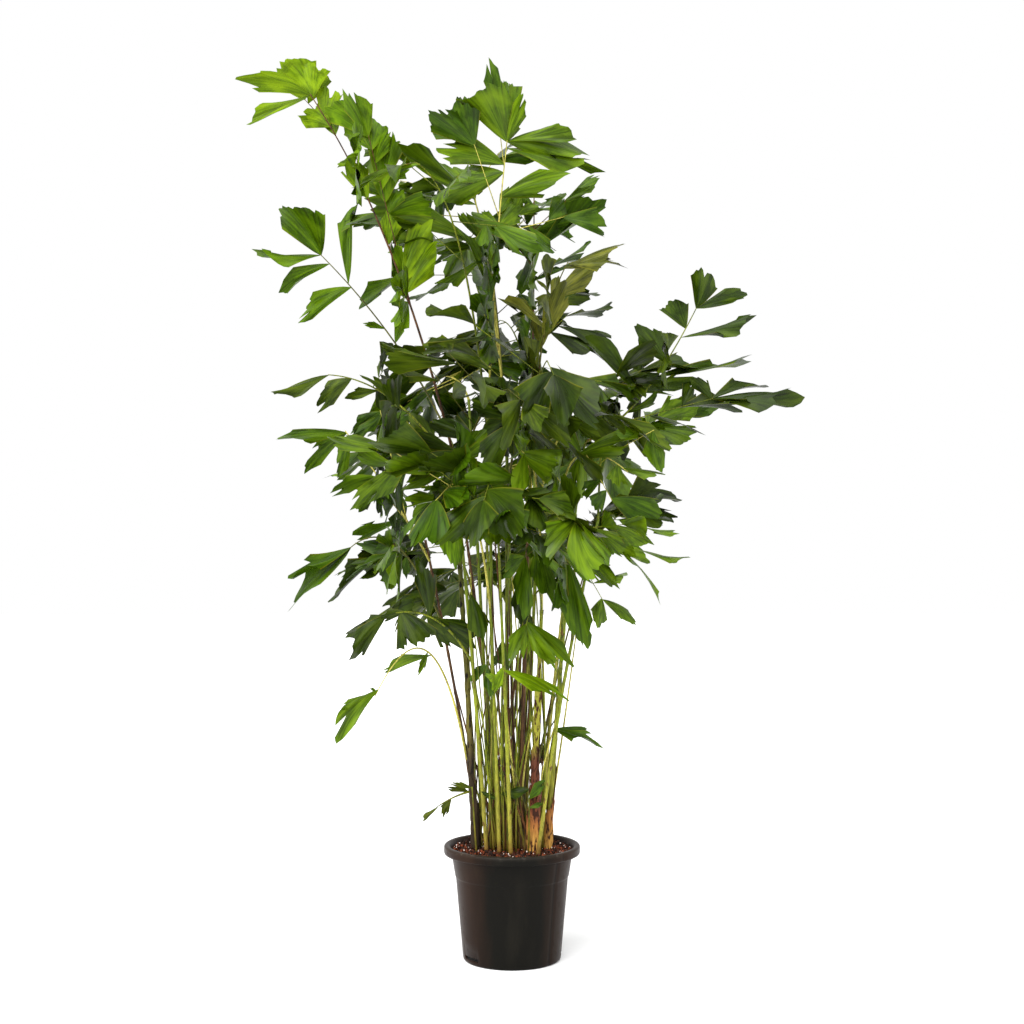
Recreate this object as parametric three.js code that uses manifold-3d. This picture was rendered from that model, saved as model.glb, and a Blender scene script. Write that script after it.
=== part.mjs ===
// Clustering fishtail palm in a nursery pot.
// Millimetres, +Z up, +X to the right, +Y away from the front.
// The origin is the centre of the pot's flat underside.
import * as THREE from 'three';
import { mergeVertices } from 'three/addons/utils/BufferGeometryUtils.js';
import Module from 'manifold-3d';

const wasm = await Module();
wasm.setup();

// Clear gap between neighbouring solids
const GAP = 0.3;

// Pot, a tapered plastic container with a rolled lip and a slightly wider collar
const POT_HEIGHT = 285;
const POT_BASE_RADIUS = 122;
const POT_STEP_HEIGHT = 205;
const POT_STEP_RADIUS = 140;
const POT_STEP_RISE = 3;
const POT_COLLAR_RADIUS = 142;
const POT_SHOULDER_RADIUS = 150;
const POT_RIM_RADIUS = 170;
const POT_MOUTH_RADIUS = 157;
const POT_LIP_HEIGHT = 22;
const POT_LIP_ROUNDING = 5;
const POT_WALL = 4;
const POT_FLOOR = 6;
const POT_FOOT_ROUNDING = 4;
const POT_SIDES = 24;

// Potting mix, level a little below the rim
const SOIL_TOP = 275;

// Places on the plant are told as they look from straight in front, at this distance and eye height
const VIEW_DISTANCE = 4200;
const EYE_HEIGHT = 1115;
const SQUARE = 2.5;
const MIDDLE_SQUARE = 512;
const GROUND_SQUARE = 958;
const NEAREST_STEPS = 60;
const NEAREST_FROM = 0.12;

// Canes: place in the pot (across, depth), tip as seen (across, height, depth), radii at the soil and the tip
const CANE_SIDES = 5;
const CANE_STEPS = 4;
const CANE_LEAN_AT_HALF = 0.4;
const CANES = [
  { name: 'cane_dark_left', foot: [-90, -5], tip: [-150, 1270, -40], radii: [11, 5], colour: 'bark' },
  { name: 'cane_left_outer', foot: [-80, 34], tip: [-217, 1045, 60], radii: [5, 3.2], colour: 'brown' },
  { name: 'cane_left_front', foot: [-63, -40], tip: [-142, 1215, -130], radii: [5.5, 3.4], colour: 'green' },
  { name: 'cane_left_back', foot: [-50, 52], tip: [-108, 1395, 100], radii: [5.5, 3.4], colour: 'green' },
  { name: 'cane_middle_left', foot: [-44, 2], tip: [-58, 1355, -15], radii: [6, 3.6], colour: 'green' },
  { name: 'cane_front_left', foot: [-31, -58], tip: [-60, 990, -150], radii: [5, 3.4], colour: 'green' },
  { name: 'cane_middle', foot: [-14, 24], tip: [-12, 1320, 40], radii: [6.5, 3.8], colour: 'green' },
  { name: 'cane_front', foot: [-3, -74], tip: [-28, 895, -170], radii: [5.5, 3.6], colour: 'green' },
  { name: 'cane_back', foot: [6, 64], tip: [-8, 1095, 160], radii: [6, 3.5], colour: 'green' },
  { name: 'cane_brown', foot: [20, -12], tip: [47, 1290, -10], radii: [6.5, 3.5], colour: 'brown' },
  { name: 'cane_middle_back', foot: [32, 36], tip: [70, 1195, 90], radii: [6, 3.6], colour: 'green' },
  { name: 'cane_sheathed', foot: [52, -44], tip: [74, 870, -95], radii: [13, 4.5], colour: 'sheath' },
  { name: 'cane_right', foot: [89, -4], tip: [145, 995, 0], radii: [8, 4], colour: 'green' },
  { name: 'cane_right_middle', foot: [64, 12], tip: [182, 1290, 30], radii: [5.5, 3.6], colour: 'green' },
  { name: 'cane_right_front', foot: [64, -86], tip: [150, 795, -190], radii: [5, 3.4], colour: 'green' },
  { name: 'cane_back_left', foot: [-26, 90], tip: [-120, 1095, 250], radii: [6, 3.6], colour: 'brown' },
  { name: 'cane_far_back', foot: [24, 100], tip: [60, 1270, 240], radii: [6.5, 3.8], colour: 'green' },
  { name: 'cane_back_right', foot: [62, 68], tip: [215, 1095, 190], radii: [6, 3.6], colour: 'green' },
];

// Stalks and ribs of the fronds, three-sided and tapering
const RIB_SIDES = 3;
const STALK_STEPS = 4;
const RIB_STEPS = 1;
const STALK_TIP_RADIUS = 2.8;
const STALK_MOST_RADIUS = 4;
const RIB_RADII = [3.2, 2.6];

// Leaflets: thick at the foot, thin at the ragged far edge
const LEAF_FOOT_SUNK = 1;
const LEAF_POLE = 9;
const LEAF_END_SETBACK = 4;
const LEAF_THICKNESS = 0.024;
const LEAF_DROOP = 0.12;
const LEAF_RIPPLE = 0.02;
const TRIMMED_FROM = 0.2;
const TRIMMED_POLE = 0.3;
const FAN_FROM = 0.62;
const LEAST_WIDTH = 0.3;
const DEPTH_SWAY = 1.1;
const SPRIG_DEPTH_SWAY = 0.6;

// Edge of a leaflet as [share of length, share of half width], from the lower margin round to the upper one
const FISHTAIL = [[0.42, -0.78], [0.74, -0.95], [0.78, -0.25], [0.86, 0.2], [1, 0.68], [0.46, 0.78]];
const FAN = [[0.5, -0.85], [0.8, -1], [0.84, -0.4], [1, 0], [0.88, 0.4], [0.88, 1], [0.5, 0.85]];

// Fronds whose leaflets show one by one. A frond leaves its cane at the share 'from' of the cane's length,
// and its stalk runs by the bend to the tip. Places are [across, height, depth] as seen.
// leaflets: told on a front view drawn on squares of 2.5 mm that are counted from its upper left corner, as
// foot across and down, tip across and down, and width; mirrored where the width is negative.
// ribs: side ribs from the share 'at' of the stalk to 'tip', with leaflets told the same way.
// sprigs: grown side ribs, [share of the stalk, angle as seen, length, number of leaflets, leaflet length].
const SHOWN_FRONDS = [
  {
    name: 'frond_upper_left', cane: 0, from: 1, bend: [-285, 1830, -140], tip: [-505, 2160, -190],
    colour: 'bright',
    leaflets: [
      [303, 97, 240, 84, 20], [296, 101, 243, 118, 14], [306, 98, 281, 57, 48], [318, 96, 312, 58, 34],
      [333, 127, 295, 107, 26], [345, 128, 317, 84, 32], [370, 200, 350, 160, 26],
      [353, 166, 338, 160, 12], [388, 247, 392, 211, 22], [405, 282, 434, 216, 36],
      [402, 280, 400, 238, 16], [416, 290, 442, 240, 30],
    ],
    ribs: [
      {
        at: 0.88, tip: [-520, 2148, -120],
        leaflets: [[300, 98, 284, 60, 40], [312, 100, 322, 64, 28], [330, 120, 330, 84, 28]],
      },
      {
        at: 0.34, tip: [-360, 2060, -230],
        leaflets: [
          [366, 138, 328, 92, 36], [366, 136, 351, 88, 28], [372, 150, 370, 108, 28],
          [376, 190, 388, 119, 34], [380, 205, 378, 135, 32], [372, 165, 392, 128, 26],
          [368, 150, 345, 112, 26], [382, 215, 400, 182, 24],
        ],
      },
    ],
    sprigs: [[0.5, 92, 210, 3, 110]],
  },
  {
    name: 'frond_left_high', cane: 3, from: 0.76, bend: [-200, 1480, 90], tip: [-480, 1760, 110],
    colour: 'bright',
    leaflets: [
      [320, 255, 290, 203, 46], [316, 254, 247, 256, -13], [330, 266, 274, 297, -17],
      [351, 287, 291, 319, 24], [350, 282, 354, 190, 22], [380, 332, 362, 324, 8],
      [395, 345, 402, 318, 12],
    ],
    sprigs: [],
  },
  {
    name: 'frond_top', cane: 4, from: 1, bend: [-52, 1700, -30], tip: [-12, 2045, -60], colour: 'mid',
    leaflets: [
      [506, 134, 486, 88, 66], [512, 131, 581, 134, -17], [512, 140, 592, 158, 34],
      [540, 150, 610, 171, 20], [506, 130, 529, 93, 18], [500, 165, 430, 150, 34],
      [505, 172, 430, 196, 38], [512, 200, 572, 182, 30], [500, 228, 522, 204, 24],
      [500, 215, 512, 184, 16], [498, 225, 470, 208, 16], [492, 275, 483, 215, 14],
      [506, 133, 514, 118, 18],
    ],
    ribs: [
      {
        at: 0.72, tip: [-95, 2035, -100],
        leaflets: [
          [466, 143, 430, 110, 38], [480, 142, 458, 98, 34], [470, 142, 463, 79, 20],
          [478, 142, 425, 128, 9],
        ],
      },
      {
        at: 0.9, tip: [-36, 2112, 20],
        leaflets: [[482, 95, 490, 57, 22], [485, 95, 512, 74, 26], [498, 110, 516, 84, 20]],
      },
    ],
    sprigs: [[0.66, 14, 170, 2, 105]],
  },
  {
    name: 'frond_top_left', cane: 6, from: 1, bend: [-40, 1610, 50], tip: [-92, 1900, 110], colour: 'mid',
    leaflets: [
      [462, 184, 386, 146, 28], [466, 250, 364, 202, 20], [470, 248, 433, 250, 9],
      [475, 205, 415, 190, 16], [478, 190, 440, 152, 32], [472, 245, 460, 208, 16],
      [486, 262, 484, 206, 14], [486, 290, 462, 226, 16], [484, 255, 434, 288, 14],
    ],
    sprigs: [[0.8, 40, 120, 2, 95]],
  },
  {
    name: 'frond_thin_brown', cane: 9, from: 1, bend: [56, 1600, 60], tip: [55, 1960, 170], colour: 'mid',
    leaflets: [
      [520, 237, 588, 213, 24], [548, 252, 607, 200, -18], [505, 268, 516, 228, 12],
      [521, 205, 504, 190, 14],
    ],
    ribs: [
      {
        at: 0.8, tip: [135, 1895, 120],
        leaflets: [[566, 199, 606, 176, 11], [556, 202, 596, 188, 14], [548, 206, 580, 214, 14]],
      },
    ],
    sprigs: [[0.66, 128, 60, 1, 70], [0.78, 125, 70, 2, 85]],
  },
  {
    name: 'frond_olive', cane: 10, from: 1, bend: [40, 1560, -40], tip: [140, 1740, -130], colour: 'olive',
    leaflets: [
      [524, 338, 566, 280, 26], [548, 296, 604, 262, 24], [575, 275, 634, 250, 18],
      [585, 268, 632, 266, 14], [520, 325, 500, 293, 14], [530, 345, 538, 312, 20],
      [545, 300, 560, 272, 14],
    ],
    sprigs: [],
  },
  {
    name: 'frond_right', cane: 13, from: 1, bend: [322, 1345, 10], tip: [463, 1629, 60], colour: 'dark',
    leaflets: [
      [697, 306, 706, 267, 30], [697, 307, 757, 290, 18], [682, 327, 668, 299, 29],
      [678, 335, 763, 321, 11], [661, 360, 634, 325, 29], [655, 375, 763, 359, -20],
      [640, 395, 575, 326, 22], [597, 412, 553, 357, 26], [650, 392, 700, 381, 15],
      [632, 420, 661, 395, 9], [640, 392, 606, 386, 12],
    ],
    ribs: [
      {
        at: 0.26, tip: [503, 1399, -60],
        leaflets: [
          [684, 415, 696, 383, 22], [712, 398, 772, 382, -13], [716, 400, 806, 399, 6],
          [716, 400, 784, 404, 11], [680, 425, 748, 409, -10], [650, 422, 705, 437, 12],
          [712, 392, 690, 374, 16],
        ],
      },
    ],
    sprigs: [],
  },
  {
    name: 'frond_right_middle', cane: 12, from: 0.86, bend: [70, 1400, -119], tip: [290, 1215, -170],
    colour: 'mid',
    leaflets: [
      [558, 437, 648, 440, 29], [620, 460, 617, 490, 22], [608, 485, 668, 482, 9],
      [568, 427, 535, 391, 22], [585, 460, 578, 500, 20],
    ],
    ribs: [
      {
        at: 0.86, tip: [355, 1320, -210],
        leaflets: [[655, 430, 658, 478, 22], [640, 440, 612, 430, 14]],
      },
      {
        at: 0.7, tip: [250, 1145, -210],
        leaflets: [[612, 503, 663, 521, 34], [606, 490, 592, 510, 20], [600, 480, 580, 495, 16]],
      },
    ],
    sprigs: [],
  },
  {
    name: 'frond_right_low', cane: 12, from: 1, bend: [165, 1120, -140], tip: [160, 1108, -200],
    colour: 'mid',
    leaflets: [
      [578, 556, 622, 592, 21], [570, 520, 548, 545, 24], [572, 528, 648, 560, 27],
      [570, 540, 618, 556, 22],
    ],
    ribs: [
      {
        at: 0.15, tip: [228, 893, -60],
        leaflets: [[604, 604, 641, 630, 14], [602, 598, 598, 632, 18], [598, 580, 636, 575, 9]],
      },
    ],
    sprigs: [],
  },
  {
    name: 'frond_hanging', cane: 14, from: 1, bend: [170, 1130, -230], tip: [30, 1000, -250],
    colour: 'mid',
    leaflets: [
      [555, 565, 580, 655, 29], [545, 560, 548, 612, 29], [520, 578, 520, 628, 22],
      [570, 610, 586, 655, 20], [535, 555, 575, 548, 24], [525, 540, 548, 556, 22],
      [556, 575, 562, 625, 24], [512, 560, 498, 575, 20],
    ],
    sprigs: [],
  },
  {
    name: 'frond_right_bottom', cane: 11, from: 0.92, bend: [80, 1010, -150], tip: [35, 830, -210],
    colour: 'mid',
    leaflets: [
      [526, 622, 573, 671, 22], [545, 640, 556, 676, 18], [506, 640, 504, 668, 15],
      [530, 640, 522, 662, 14],
    ],
    sprigs: [],
  },
  {
    name: 'frond_centre_flag', cane: 11, from: 1, bend: [75, 1300, -170], tip: [18, 1262, -330],
    colour: 'mid',
    leaflets: [
      [513, 452, 560, 470, 38], [528, 510, 568, 516, 16], [520, 505, 548, 505, 20],
      [512, 452, 520, 425, 20],
    ],
    sprigs: [],
  },
  {
    name: 'frond_centre_front', cane: 5, from: 1, bend: [-75, 1220, -220], tip: [-62, 1160, -380],
    colour: 'bright',
    leaflets: [[470, 503, 486, 549, 56], [470, 500, 436, 530, 22], [488, 510, 520, 530, 24]],
    ribs: [
      {
        at: 0.9, tip: [-160, 1110, -300],
        leaflets: [[446, 515, 455, 574, 24], [448, 514, 428, 548, 22]],
      },
    ],
    sprigs: [],
  },
  {
    name: 'frond_centre_dark', cane: 6, from: 0.86, bend: [30, 1420, -120], tip: [5, 1335, -270],
    colour: 'dark',
    leaflets: [
      [506, 424, 472, 486, 29], [500, 410, 470, 440, 27], [500, 400, 470, 372, 24],
      [500, 415, 465, 400, 21],
    ],
    ribs: [
      {
        at: 0.6, tip: [-145, 1265, -240],
        leaflets: [
          [452, 460, 401, 484, 22], [452, 448, 402, 432, 18], [470, 430, 427, 416, 26],
          [462, 446, 448, 490, 24],
        ],
      },
    ],
    sprigs: [],
  },
  {
    name: 'frond_left_arched', cane: 2, from: 1, bend: [-290, 1450, -110], tip: [-460, 1458, -120],
    colour: 'dark',
    leaflets: [
      [328, 375, 270, 404, -13], [350, 386, 308, 410, 22], [378, 393, 344, 399, -9],
      [408, 375, 362, 372, 8], [440, 440, 408, 408, 21], [420, 440, 402, 432, 14],
    ],
    sprigs: [],
  },
  {
    name: 'frond_left_middle', cane: 1, from: 0.93, bend: [-270, 1120, 30], tip: [-417, 1318, 0],
    colour: 'mid',
    leaflets: [
      [345, 428, 274, 444, -20], [340, 438, 296, 472, 22], [343, 443, 334, 478, 17],
      [382, 475, 324, 496, 18], [386, 478, 354, 513, 18], [386, 480, 388, 514, 18],
      [405, 517, 350, 537, 10],
    ],
    ribs: [
      {
        at: 0.36, tip: [-330, 1370, 40],
        leaflets: [
          [380, 409, 347, 438, 22], [378, 416, 357, 440, -15], [392, 424, 388, 398, 14],
          [398, 440, 376, 450, 21], [400, 445, 440, 434, 14], [396, 430, 418, 412, 20],
        ],
      },
    ],
    sprigs: [],
  },
  {
    name: 'frond_left_inner', cane: 2, from: 0.82, bend: [-150, 1260, -190], tip: [-148, 1228, -230],
    colour: 'mid',
    leaflets: [
      [453, 467, 397, 487, 22], [455, 465, 446, 508, 22], [456, 462, 402, 462, 21],
      [458, 460, 414, 438, 22], [460, 458, 490, 430, 22],
    ],
    sprigs: [],
  },
  {
    name: 'frond_left_low', cane: 1, from: 0.72, bend: [-285, 1130, -20], tip: [-405, 1025, -60],
    colour: 'mid',
    leaflets: [
      [347, 553, 287, 578, -11], [350, 560, 284, 612, 22], [417, 545, 352, 543, 20],
      [382, 570, 342, 577, 5], [385, 560, 379, 599, 24], [398, 550, 366, 560, 24],
      [395, 566, 404, 580, 11], [412, 532, 400, 521, 10],
    ],
    sprigs: [],
  },
  {
    name: 'frond_left_drooping', cane: 2, from: 0.5, bend: [-190, 910, -100], tip: [-330, 850, -110],
    colour: 'dark',
    leaflets: [
      [386, 612, 348, 660, 22], [400, 607, 422, 648, 46], [425, 630, 474, 660, 32],
      [440, 592, 420, 548, 22], [434, 598, 446, 636, 24], [446, 600, 482, 642, 22],
      [405, 598, 378, 618, 12], [384, 614, 358, 628, 12],
    ],
    sprigs: [],
  },
  {
    name: 'frond_left_bottom', cane: 1, from: 0.27, bend: [-195, 960, 0], tip: [-342, 655, -40],
    colour: 'mid',
    leaflets: [
      [388, 694, 331, 738, 16], [386, 696, 340, 711, -13], [424, 662, 374, 671, 11],
      [420, 662, 418, 676, 8], [372, 700, 370, 686, 4],
    ],
    sprigs: [],
  },
  {
    name: 'frond_low_bright', cane: 7, from: 0.62, bend: [-25, 760, -170], tip: [-20, 717, -200],
    colour: 'bright',
    leaflets: [[504, 671, 571, 702, 19], [478, 663, 491, 700, 12], [496, 690, 484, 672, 10]],
    sprigs: [],
  },
  {
    name: 'frond_low_right', cane: 12, from: 0.4, bend: [100, 580, -10], tip: [112, 570, -30],
    colour: 'mid',
    leaflets: [[545, 731, 604, 744, 9], [553, 728, 592, 736, 8]],
    sprigs: [],
  },
  {
    name: 'frond_low_left', cane: 0, from: 0.145, bend: [-140, 410, -30], tip: [-187, 378, -50],
    colour: 'olive',
    leaflets: [[472, 782, 446, 784, 9], [453, 802, 440, 820, 10], [440, 808, 420, 822, 4]],
    sprigs: [],
  },
];

// Fronds that fill the crown towards the front, the sides and the back. turn: degrees round the pot, 0
// to the
// right and 90 away from the front; reach and rise from the foot to the tip; size: length of a leaflet.
const FILL_FRONDS = [
  { name: 'frond_back_top', cane: 6, from: 0.93, turn: 125, reach: 240, rise: 760, size: 175,
  colour: 'mid' },
  { name: 'frond_front_top', cane: 4, from: 0.9, turn: 228, reach: 260, rise: 700, size: 150,
  colour: 'mid' },
  { name: 'frond_back_high', cane: 8, from: 1, turn: 112, reach: 230, rise: 790, size: 175,
  colour: 'mid' },
  { name: 'frond_far_back_high', cane: 16, from: 1, turn: 112, reach: 260, rise: 370, size: 175,
  colour: 'dark' },
  { name: 'frond_back_left_high', cane: 3, from: 1, turn: 108, reach: 270, rise: 80, size: 165,
  colour: 'mid' },
  { name: 'frond_front_high', cane: 9, from: 0.86, turn: 278, reach: 280, rise: 320, size: 165,
  colour: 'dark' },
  { name: 'frond_back_left', cane: 15, from: 1, turn: 112, reach: 240, rise: 280, size: 175,
  colour: 'mid' },
  { name: 'frond_back_left_low', cane: 15, from: 0.72, turn: 124, reach: 230, rise: 200, size: 165,
  colour: 'dark' },
  { name: 'frond_far_back', cane: 16, from: 0.82, turn: 95, reach: 250, rise: 190, size: 175,
  colour: 'mid' },
  { name: 'frond_back_right', cane: 17, from: 1, turn: 82, reach: 210, rise: 220, size: 165,
  colour: 'mid' },
  { name: 'frond_back_right_low', cane: 17, from: 0.7, turn: 96, reach: 230, rise: 220, size: 165,
  colour: 'dark' },
  { name: 'frond_back_low', cane: 8, from: 0.7, turn: 118, reach: 280, rise: 130, size: 165,
  colour: 'dark' },
  { name: 'frond_front_left', cane: 5, from: 0.84, turn: 250, reach: 250, rise: 300, size: 165,
  colour: 'mid' },
  { name: 'frond_front_right', cane: 14, from: 0.7, turn: 275, reach: 220, rise: 470, size: 160,
  colour: 'mid' },
  { name: 'frond_front_middle', cane: 2, from: 0.93, turn: 298, reach: 260, rise: 250, size: 165,
  colour: 'dark' },
  { name: 'frond_front_low', cane: 7, from: 1, turn: 264, reach: 230, rise: 280, size: 165,
  colour: 'dark' },
  { name: 'frond_right_side', cane: 10, from: 0.94, turn: 36, reach: 190, rise: 250, size: 160,
  colour: 'dark' },
];
const FILL_BARE = 0.42;
const FILL_RIBS = 4;
const FILL_RIB_LENGTH = [1.06, 1.44];
const FILL_RIB_LEAVES = 2;
const FILL_ROLL = 0.5;
const FILL_BEND_OUT = 0.3;
const FILL_BEND_UP = 0.95;
const FILL_RIB_SWING = [0.95, 1.25];
const FILL_RIB_DROOP = 0.1;
const FILL_END_DROOP = 0.5;
const FILL_END_RIB = 0.5;
const FILL_RIB_TILT = 0.7;

// Leaflets that grow by rule: where they start on a rib, how far they swing out, their size and droop
const GROWN_FROM = 0.3;
const GROWN_TO = 0.92;
const GROWN_SWING = 0.75;
const GROWN_END_SWING = 0.1;
const GROWN_SWAY = 0.2;
const GROWN_LENGTH = [0.78, 1.18];
const GROWN_HALF_WIDTH = [0.2, 0.32];
const GROWN_DROOP = [0.1, 0.45];
const GROWN_TILT = 0.6;

const COLOURS = {
  pot: 0x2d2a26,
  soil: 0x5a2f1b,
  bark: 0x3d342a,
  brown: 0x5d472c,
  green: 0x8b9c3e,
  sheath: 0xb9803c,
  bright: 0x6aa821,
  mid: 0x3f7a24,
  dark: 0x2b561c,
  olive: 0x677244,
};

const { lerp, degToRad } = THREE.MathUtils;
const UP = new THREE.Vector3(0, 0, 1);
const TO_FRONT = new THREE.Vector3(0, -1, 0);

// Repeatable draws between 0 and 1, a new row of them for each frond
function drawsFrom(seed) {
  let state = seed;
  return () => {
    state = (state * 16807) % 2147483647;
    return state / 2147483647;
  };
}

// The true place of a point that is seen at this offset and height, and lies at this depth
function seen([across, height, depth]) {
  const spread = 1 + depth / VIEW_DISTANCE;
  return new THREE.Vector3(across * spread, depth, EYE_HEIGHT + (height - EYE_HEIGHT) * spread);
}

// A curve from one point to another, drawn towards the bend between them
function bow(from, bend, to) {
  return new THREE.QuadraticBezierCurve3(from, bend, to);
}

// The solid inside a closed geometry
function solidOf(geometry) {
  geometry.deleteAttribute('normal');
  geometry.deleteAttribute('uv');
  const merged = mergeVertices(geometry, 1e-4);
  const vertProperties = merged.attributes.position.array;
  const triVerts = new Uint32Array(merged.index.array);
  return new wasm.Manifold(new wasm.Mesh({ numProp: 3, vertProperties, triVerts }));
}

// The geometry of a solid, with tiny slivers closed up and loose scraps left out
function geometryOf(solid) {
  const bodies = solid.simplify(0.02).decompose();
  const whole = bodies.reduce((a, b) => (b.volume() > a.volume() ? b : a));
  const mesh = whole.getMesh();
  const geometry = new THREE.BufferGeometry();
  geometry.setAttribute('position', new THREE.BufferAttribute(mesh.vertProperties, 3));
  geometry.setIndex(new THREE.BufferAttribute(mesh.triVerts, 1));
  return geometry;
}

// A tapering rod along a curve: a cylinder whose rings are set square to the curve, but for a level
// first ring
function rod(curve, radii, sides, steps, levelFoot = false) {
  const geometry = new THREE.CylinderGeometry(radii[1], radii[0], 1, sides, steps);
  const chord = curve.getPoint(1).sub(curve.getPoint(0));
  const upright = Math.abs(chord.z) > chord.length() * 0.8;
  const side = new THREE.Vector3().crossVectors(chord, upright ? TO_FRONT : UP);
  const place = geometry.attributes.position;
  for (let i = 0; i < place.count; i += 1) {
    const share = place.getY(i) + 0.5;
    const tangent = curve.getTangent(share);
    const across = side.clone().addScaledVector(tangent, -side.dot(tangent)).normalize();
    const out = new THREE.Vector3().crossVectors(across, tangent);
    const point = curve.getPoint(share);
    const height = point.z;
    point.addScaledVector(across, place.getX(i)).addScaledVector(out, place.getZ(i));
    place.setXYZ(i, point.x, point.y, levelFoot && share === 0 ? height : point.z);
  }
  return solidOf(geometry);
}

// A point of a rib where a leaflet can start, never quite at the rib's end
function footOn(curve, share) {
  return curve.getPoint(Math.min(share, 1 - LEAF_END_SETBACK / curve.getLength()));
}

// One leaflet: a ball of one ring and two poles, whose ring becomes the leaflet's edge and whose poles
// its thick foot.
// With trimmed, only its outer part is made.
function leafSolid(leaf, trimmed) {
  const { foot, along, across, length, halfWidth } = leaf;
  const face = new THREE.Vector3().crossVectors(along, across);
  const outline = 2 * halfWidth > FAN_FROM * length ? FAN : FISHTAIL;
  const start = trimmed ? TRIMMED_FROM * length : -LEAF_FOOT_SUNK;
  const pole = trimmed ? TRIMMED_POLE * length : LEAF_POLE;
  const ring = [[start, 0], ...outline.map(([u, v]) => [u * length, v * halfWidth])];
  const geometry = new THREE.SphereGeometry(1, ring.length, 2);
  const place = geometry.attributes.position;
  const columns = ring.length + 1;
  for (let i = 0; i < place.count; i += 1) {
    const row = Math.floor(i / columns);
    const column = (i % columns) % ring.length;
    const [u, v] = row === 1 ? ring[column] : [pole, 0];
    const ripple = (column % 2 ? 1 : -1) * LEAF_RIPPLE * u;
    const lift = row === 1 ? ripple : (1 - row) * LEAF_THICKNESS * 0.5 * length;
    const point = foot.clone().addScaledVector(along, u).addScaledVector(across, v);
    point.addScaledVector(face, lift).addScaledVector(UP, (-LEAF_DROOP * u * u) / length);
    place.setXYZ(i, point.x, point.y, point.z);
  }
  return solidOf(geometry);
}

// The true place of a point on the drawing that lies at this depth
function drawn(across, down, depth) {
  return seen([(across - MIDDLE_SQUARE) * SQUARE, (GROUND_SQUARE - down) * SQUARE, depth]);
}

// Where a point shows on the drawing, in squares across and down
function onDrawing(point) {
  const spread = 1 + point.y / VIEW_DISTANCE;
  const height = EYE_HEIGHT + (point.z - EYE_HEIGHT) / spread;
  return [MIDDLE_SQUARE + point.x / spread / SQUARE, GROUND_SQUARE - height / SQUARE];
}

// The share of a curve's length that shows nearest to a place on the drawing
function nearestShare(curve, across, down) {
  let nearest = 1;
  let least = Infinity;
  for (let i = 0; i <= NEAREST_STEPS; i += 1) {
    const share = lerp(NEAREST_FROM, 1, i / NEAREST_STEPS);
    const [x, y] = onDrawing(curve.getPoint(share));
    const apart = Math.hypot(x - across, y - down);
    if (apart < least) {
      nearest = share;
      least = apart;
    }
  }
  return nearest;
}

// A leaflet told on the drawing. It sets off from the curve's nearest point, and a little higher than it
// looks, because its droop brings the tip down again.
function shownLeaf(curve, [footAcross, footDown, tipAcross, tipDown, squares], draw) {
  const foot = footOn(curve, nearestShare(curve, footAcross, footDown));
  const along = drawn(tipAcross, tipDown, foot.y).sub(foot);
  const length = along.length();
  const width = squares * SQUARE;
  along.divideScalar(length).setY((draw() - 0.5) * DEPTH_SWAY).normalize();
  const reach = length / Math.hypot(along.x, along.z);
  along.addScaledVector(UP, LEAF_DROOP);
  const stretch = reach * along.length();
  along.normalize();
  const trueWidth = Math.max(Math.abs(width), LEAST_WIDTH * length);
  const roll = Math.acos(Math.abs(width) / trueWidth);
  const front = TO_FRONT.clone().addScaledVector(along, -TO_FRONT.dot(along)).normalize();
  const over = new THREE.Vector3().crossVectors(along, front);
  if (over.z < 0) over.negate();
  const face = front.multiplyScalar(Math.cos(roll)).addScaledVector(over, Math.sin(roll));
  const across = new THREE.Vector3().crossVectors(face, along).multiplyScalar(Math.sign(width));
  return { foot, along, across, length: stretch, halfWidth: trueWidth / 2 };
}

// Leaflets that grow on both sides of a rib in the plane of its side vector, and one at its end
function grownLeaves(curve, side, count, size, draw) {
  const leaves = [];
  for (let i = 0; i <= count; i += 1) {
    const last = i === count;
    const hand = i % 2 ? 1 : -1;
    const share = last ? 1 : lerp(GROWN_FROM, GROWN_TO, (i + 0.5) / count);
    const swing = (last ? GROWN_END_SWING : GROWN_SWING) * hand + lerp(-GROWN_SWAY, GROWN_SWAY, draw());
    const length = size * lerp(...GROWN_LENGTH, draw());
    const halfWidth = length * lerp(...GROWN_HALF_WIDTH, draw());
    const along = curve.getTangent(share).multiplyScalar(Math.cos(swing));
    along.addScaledVector(side, Math.sin(swing));
    along.addScaledVector(UP, -lerp(...GROWN_DROOP, draw())).normalize();
    const face = new THREE.Vector3().crossVectors(side, along);
    if (face.z < 0) face.negate();
    face.addScaledVector(side, lerp(-GROWN_TILT, GROWN_TILT, draw()));
    face.addScaledVector(along, -face.dot(along)).normalize();
    const across = new THREE.Vector3().crossVectors(face, along).multiplyScalar(hand);
    leaves.push({ foot: footOn(curve, share), along, across, length, halfWidth });
  }
  return leaves;
}

const canes = CANES.map((row) => {
  const foot = new THREE.Vector3(row.foot[0], row.foot[1], SOIL_TOP + GAP);
  const tip = seen(row.tip);
  const bend = foot.clone().lerp(tip, CANE_LEAN_AT_HALF);
  bend.z = (foot.z + tip.z) / 2;
  return { ...row, curve: bow(foot, bend, tip) };
});

// Where a frond starts: just past the tip of its cane, or inside the cane, which it is then cut clear of
function stalkFoot(cane, share) {
  if (share < 1) return cane.curve.getPoint(share);
  return cane.curve.getPoint(1).addScaledVector(cane.curve.getTangent(1), GAP);
}

function stalkRadii(cane, share) {
  const there = lerp(cane.radii[0], cane.radii[1], share);
  return [Math.min(there, STALK_MOST_RADIUS), STALK_TIP_RADIUS];
}

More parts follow.
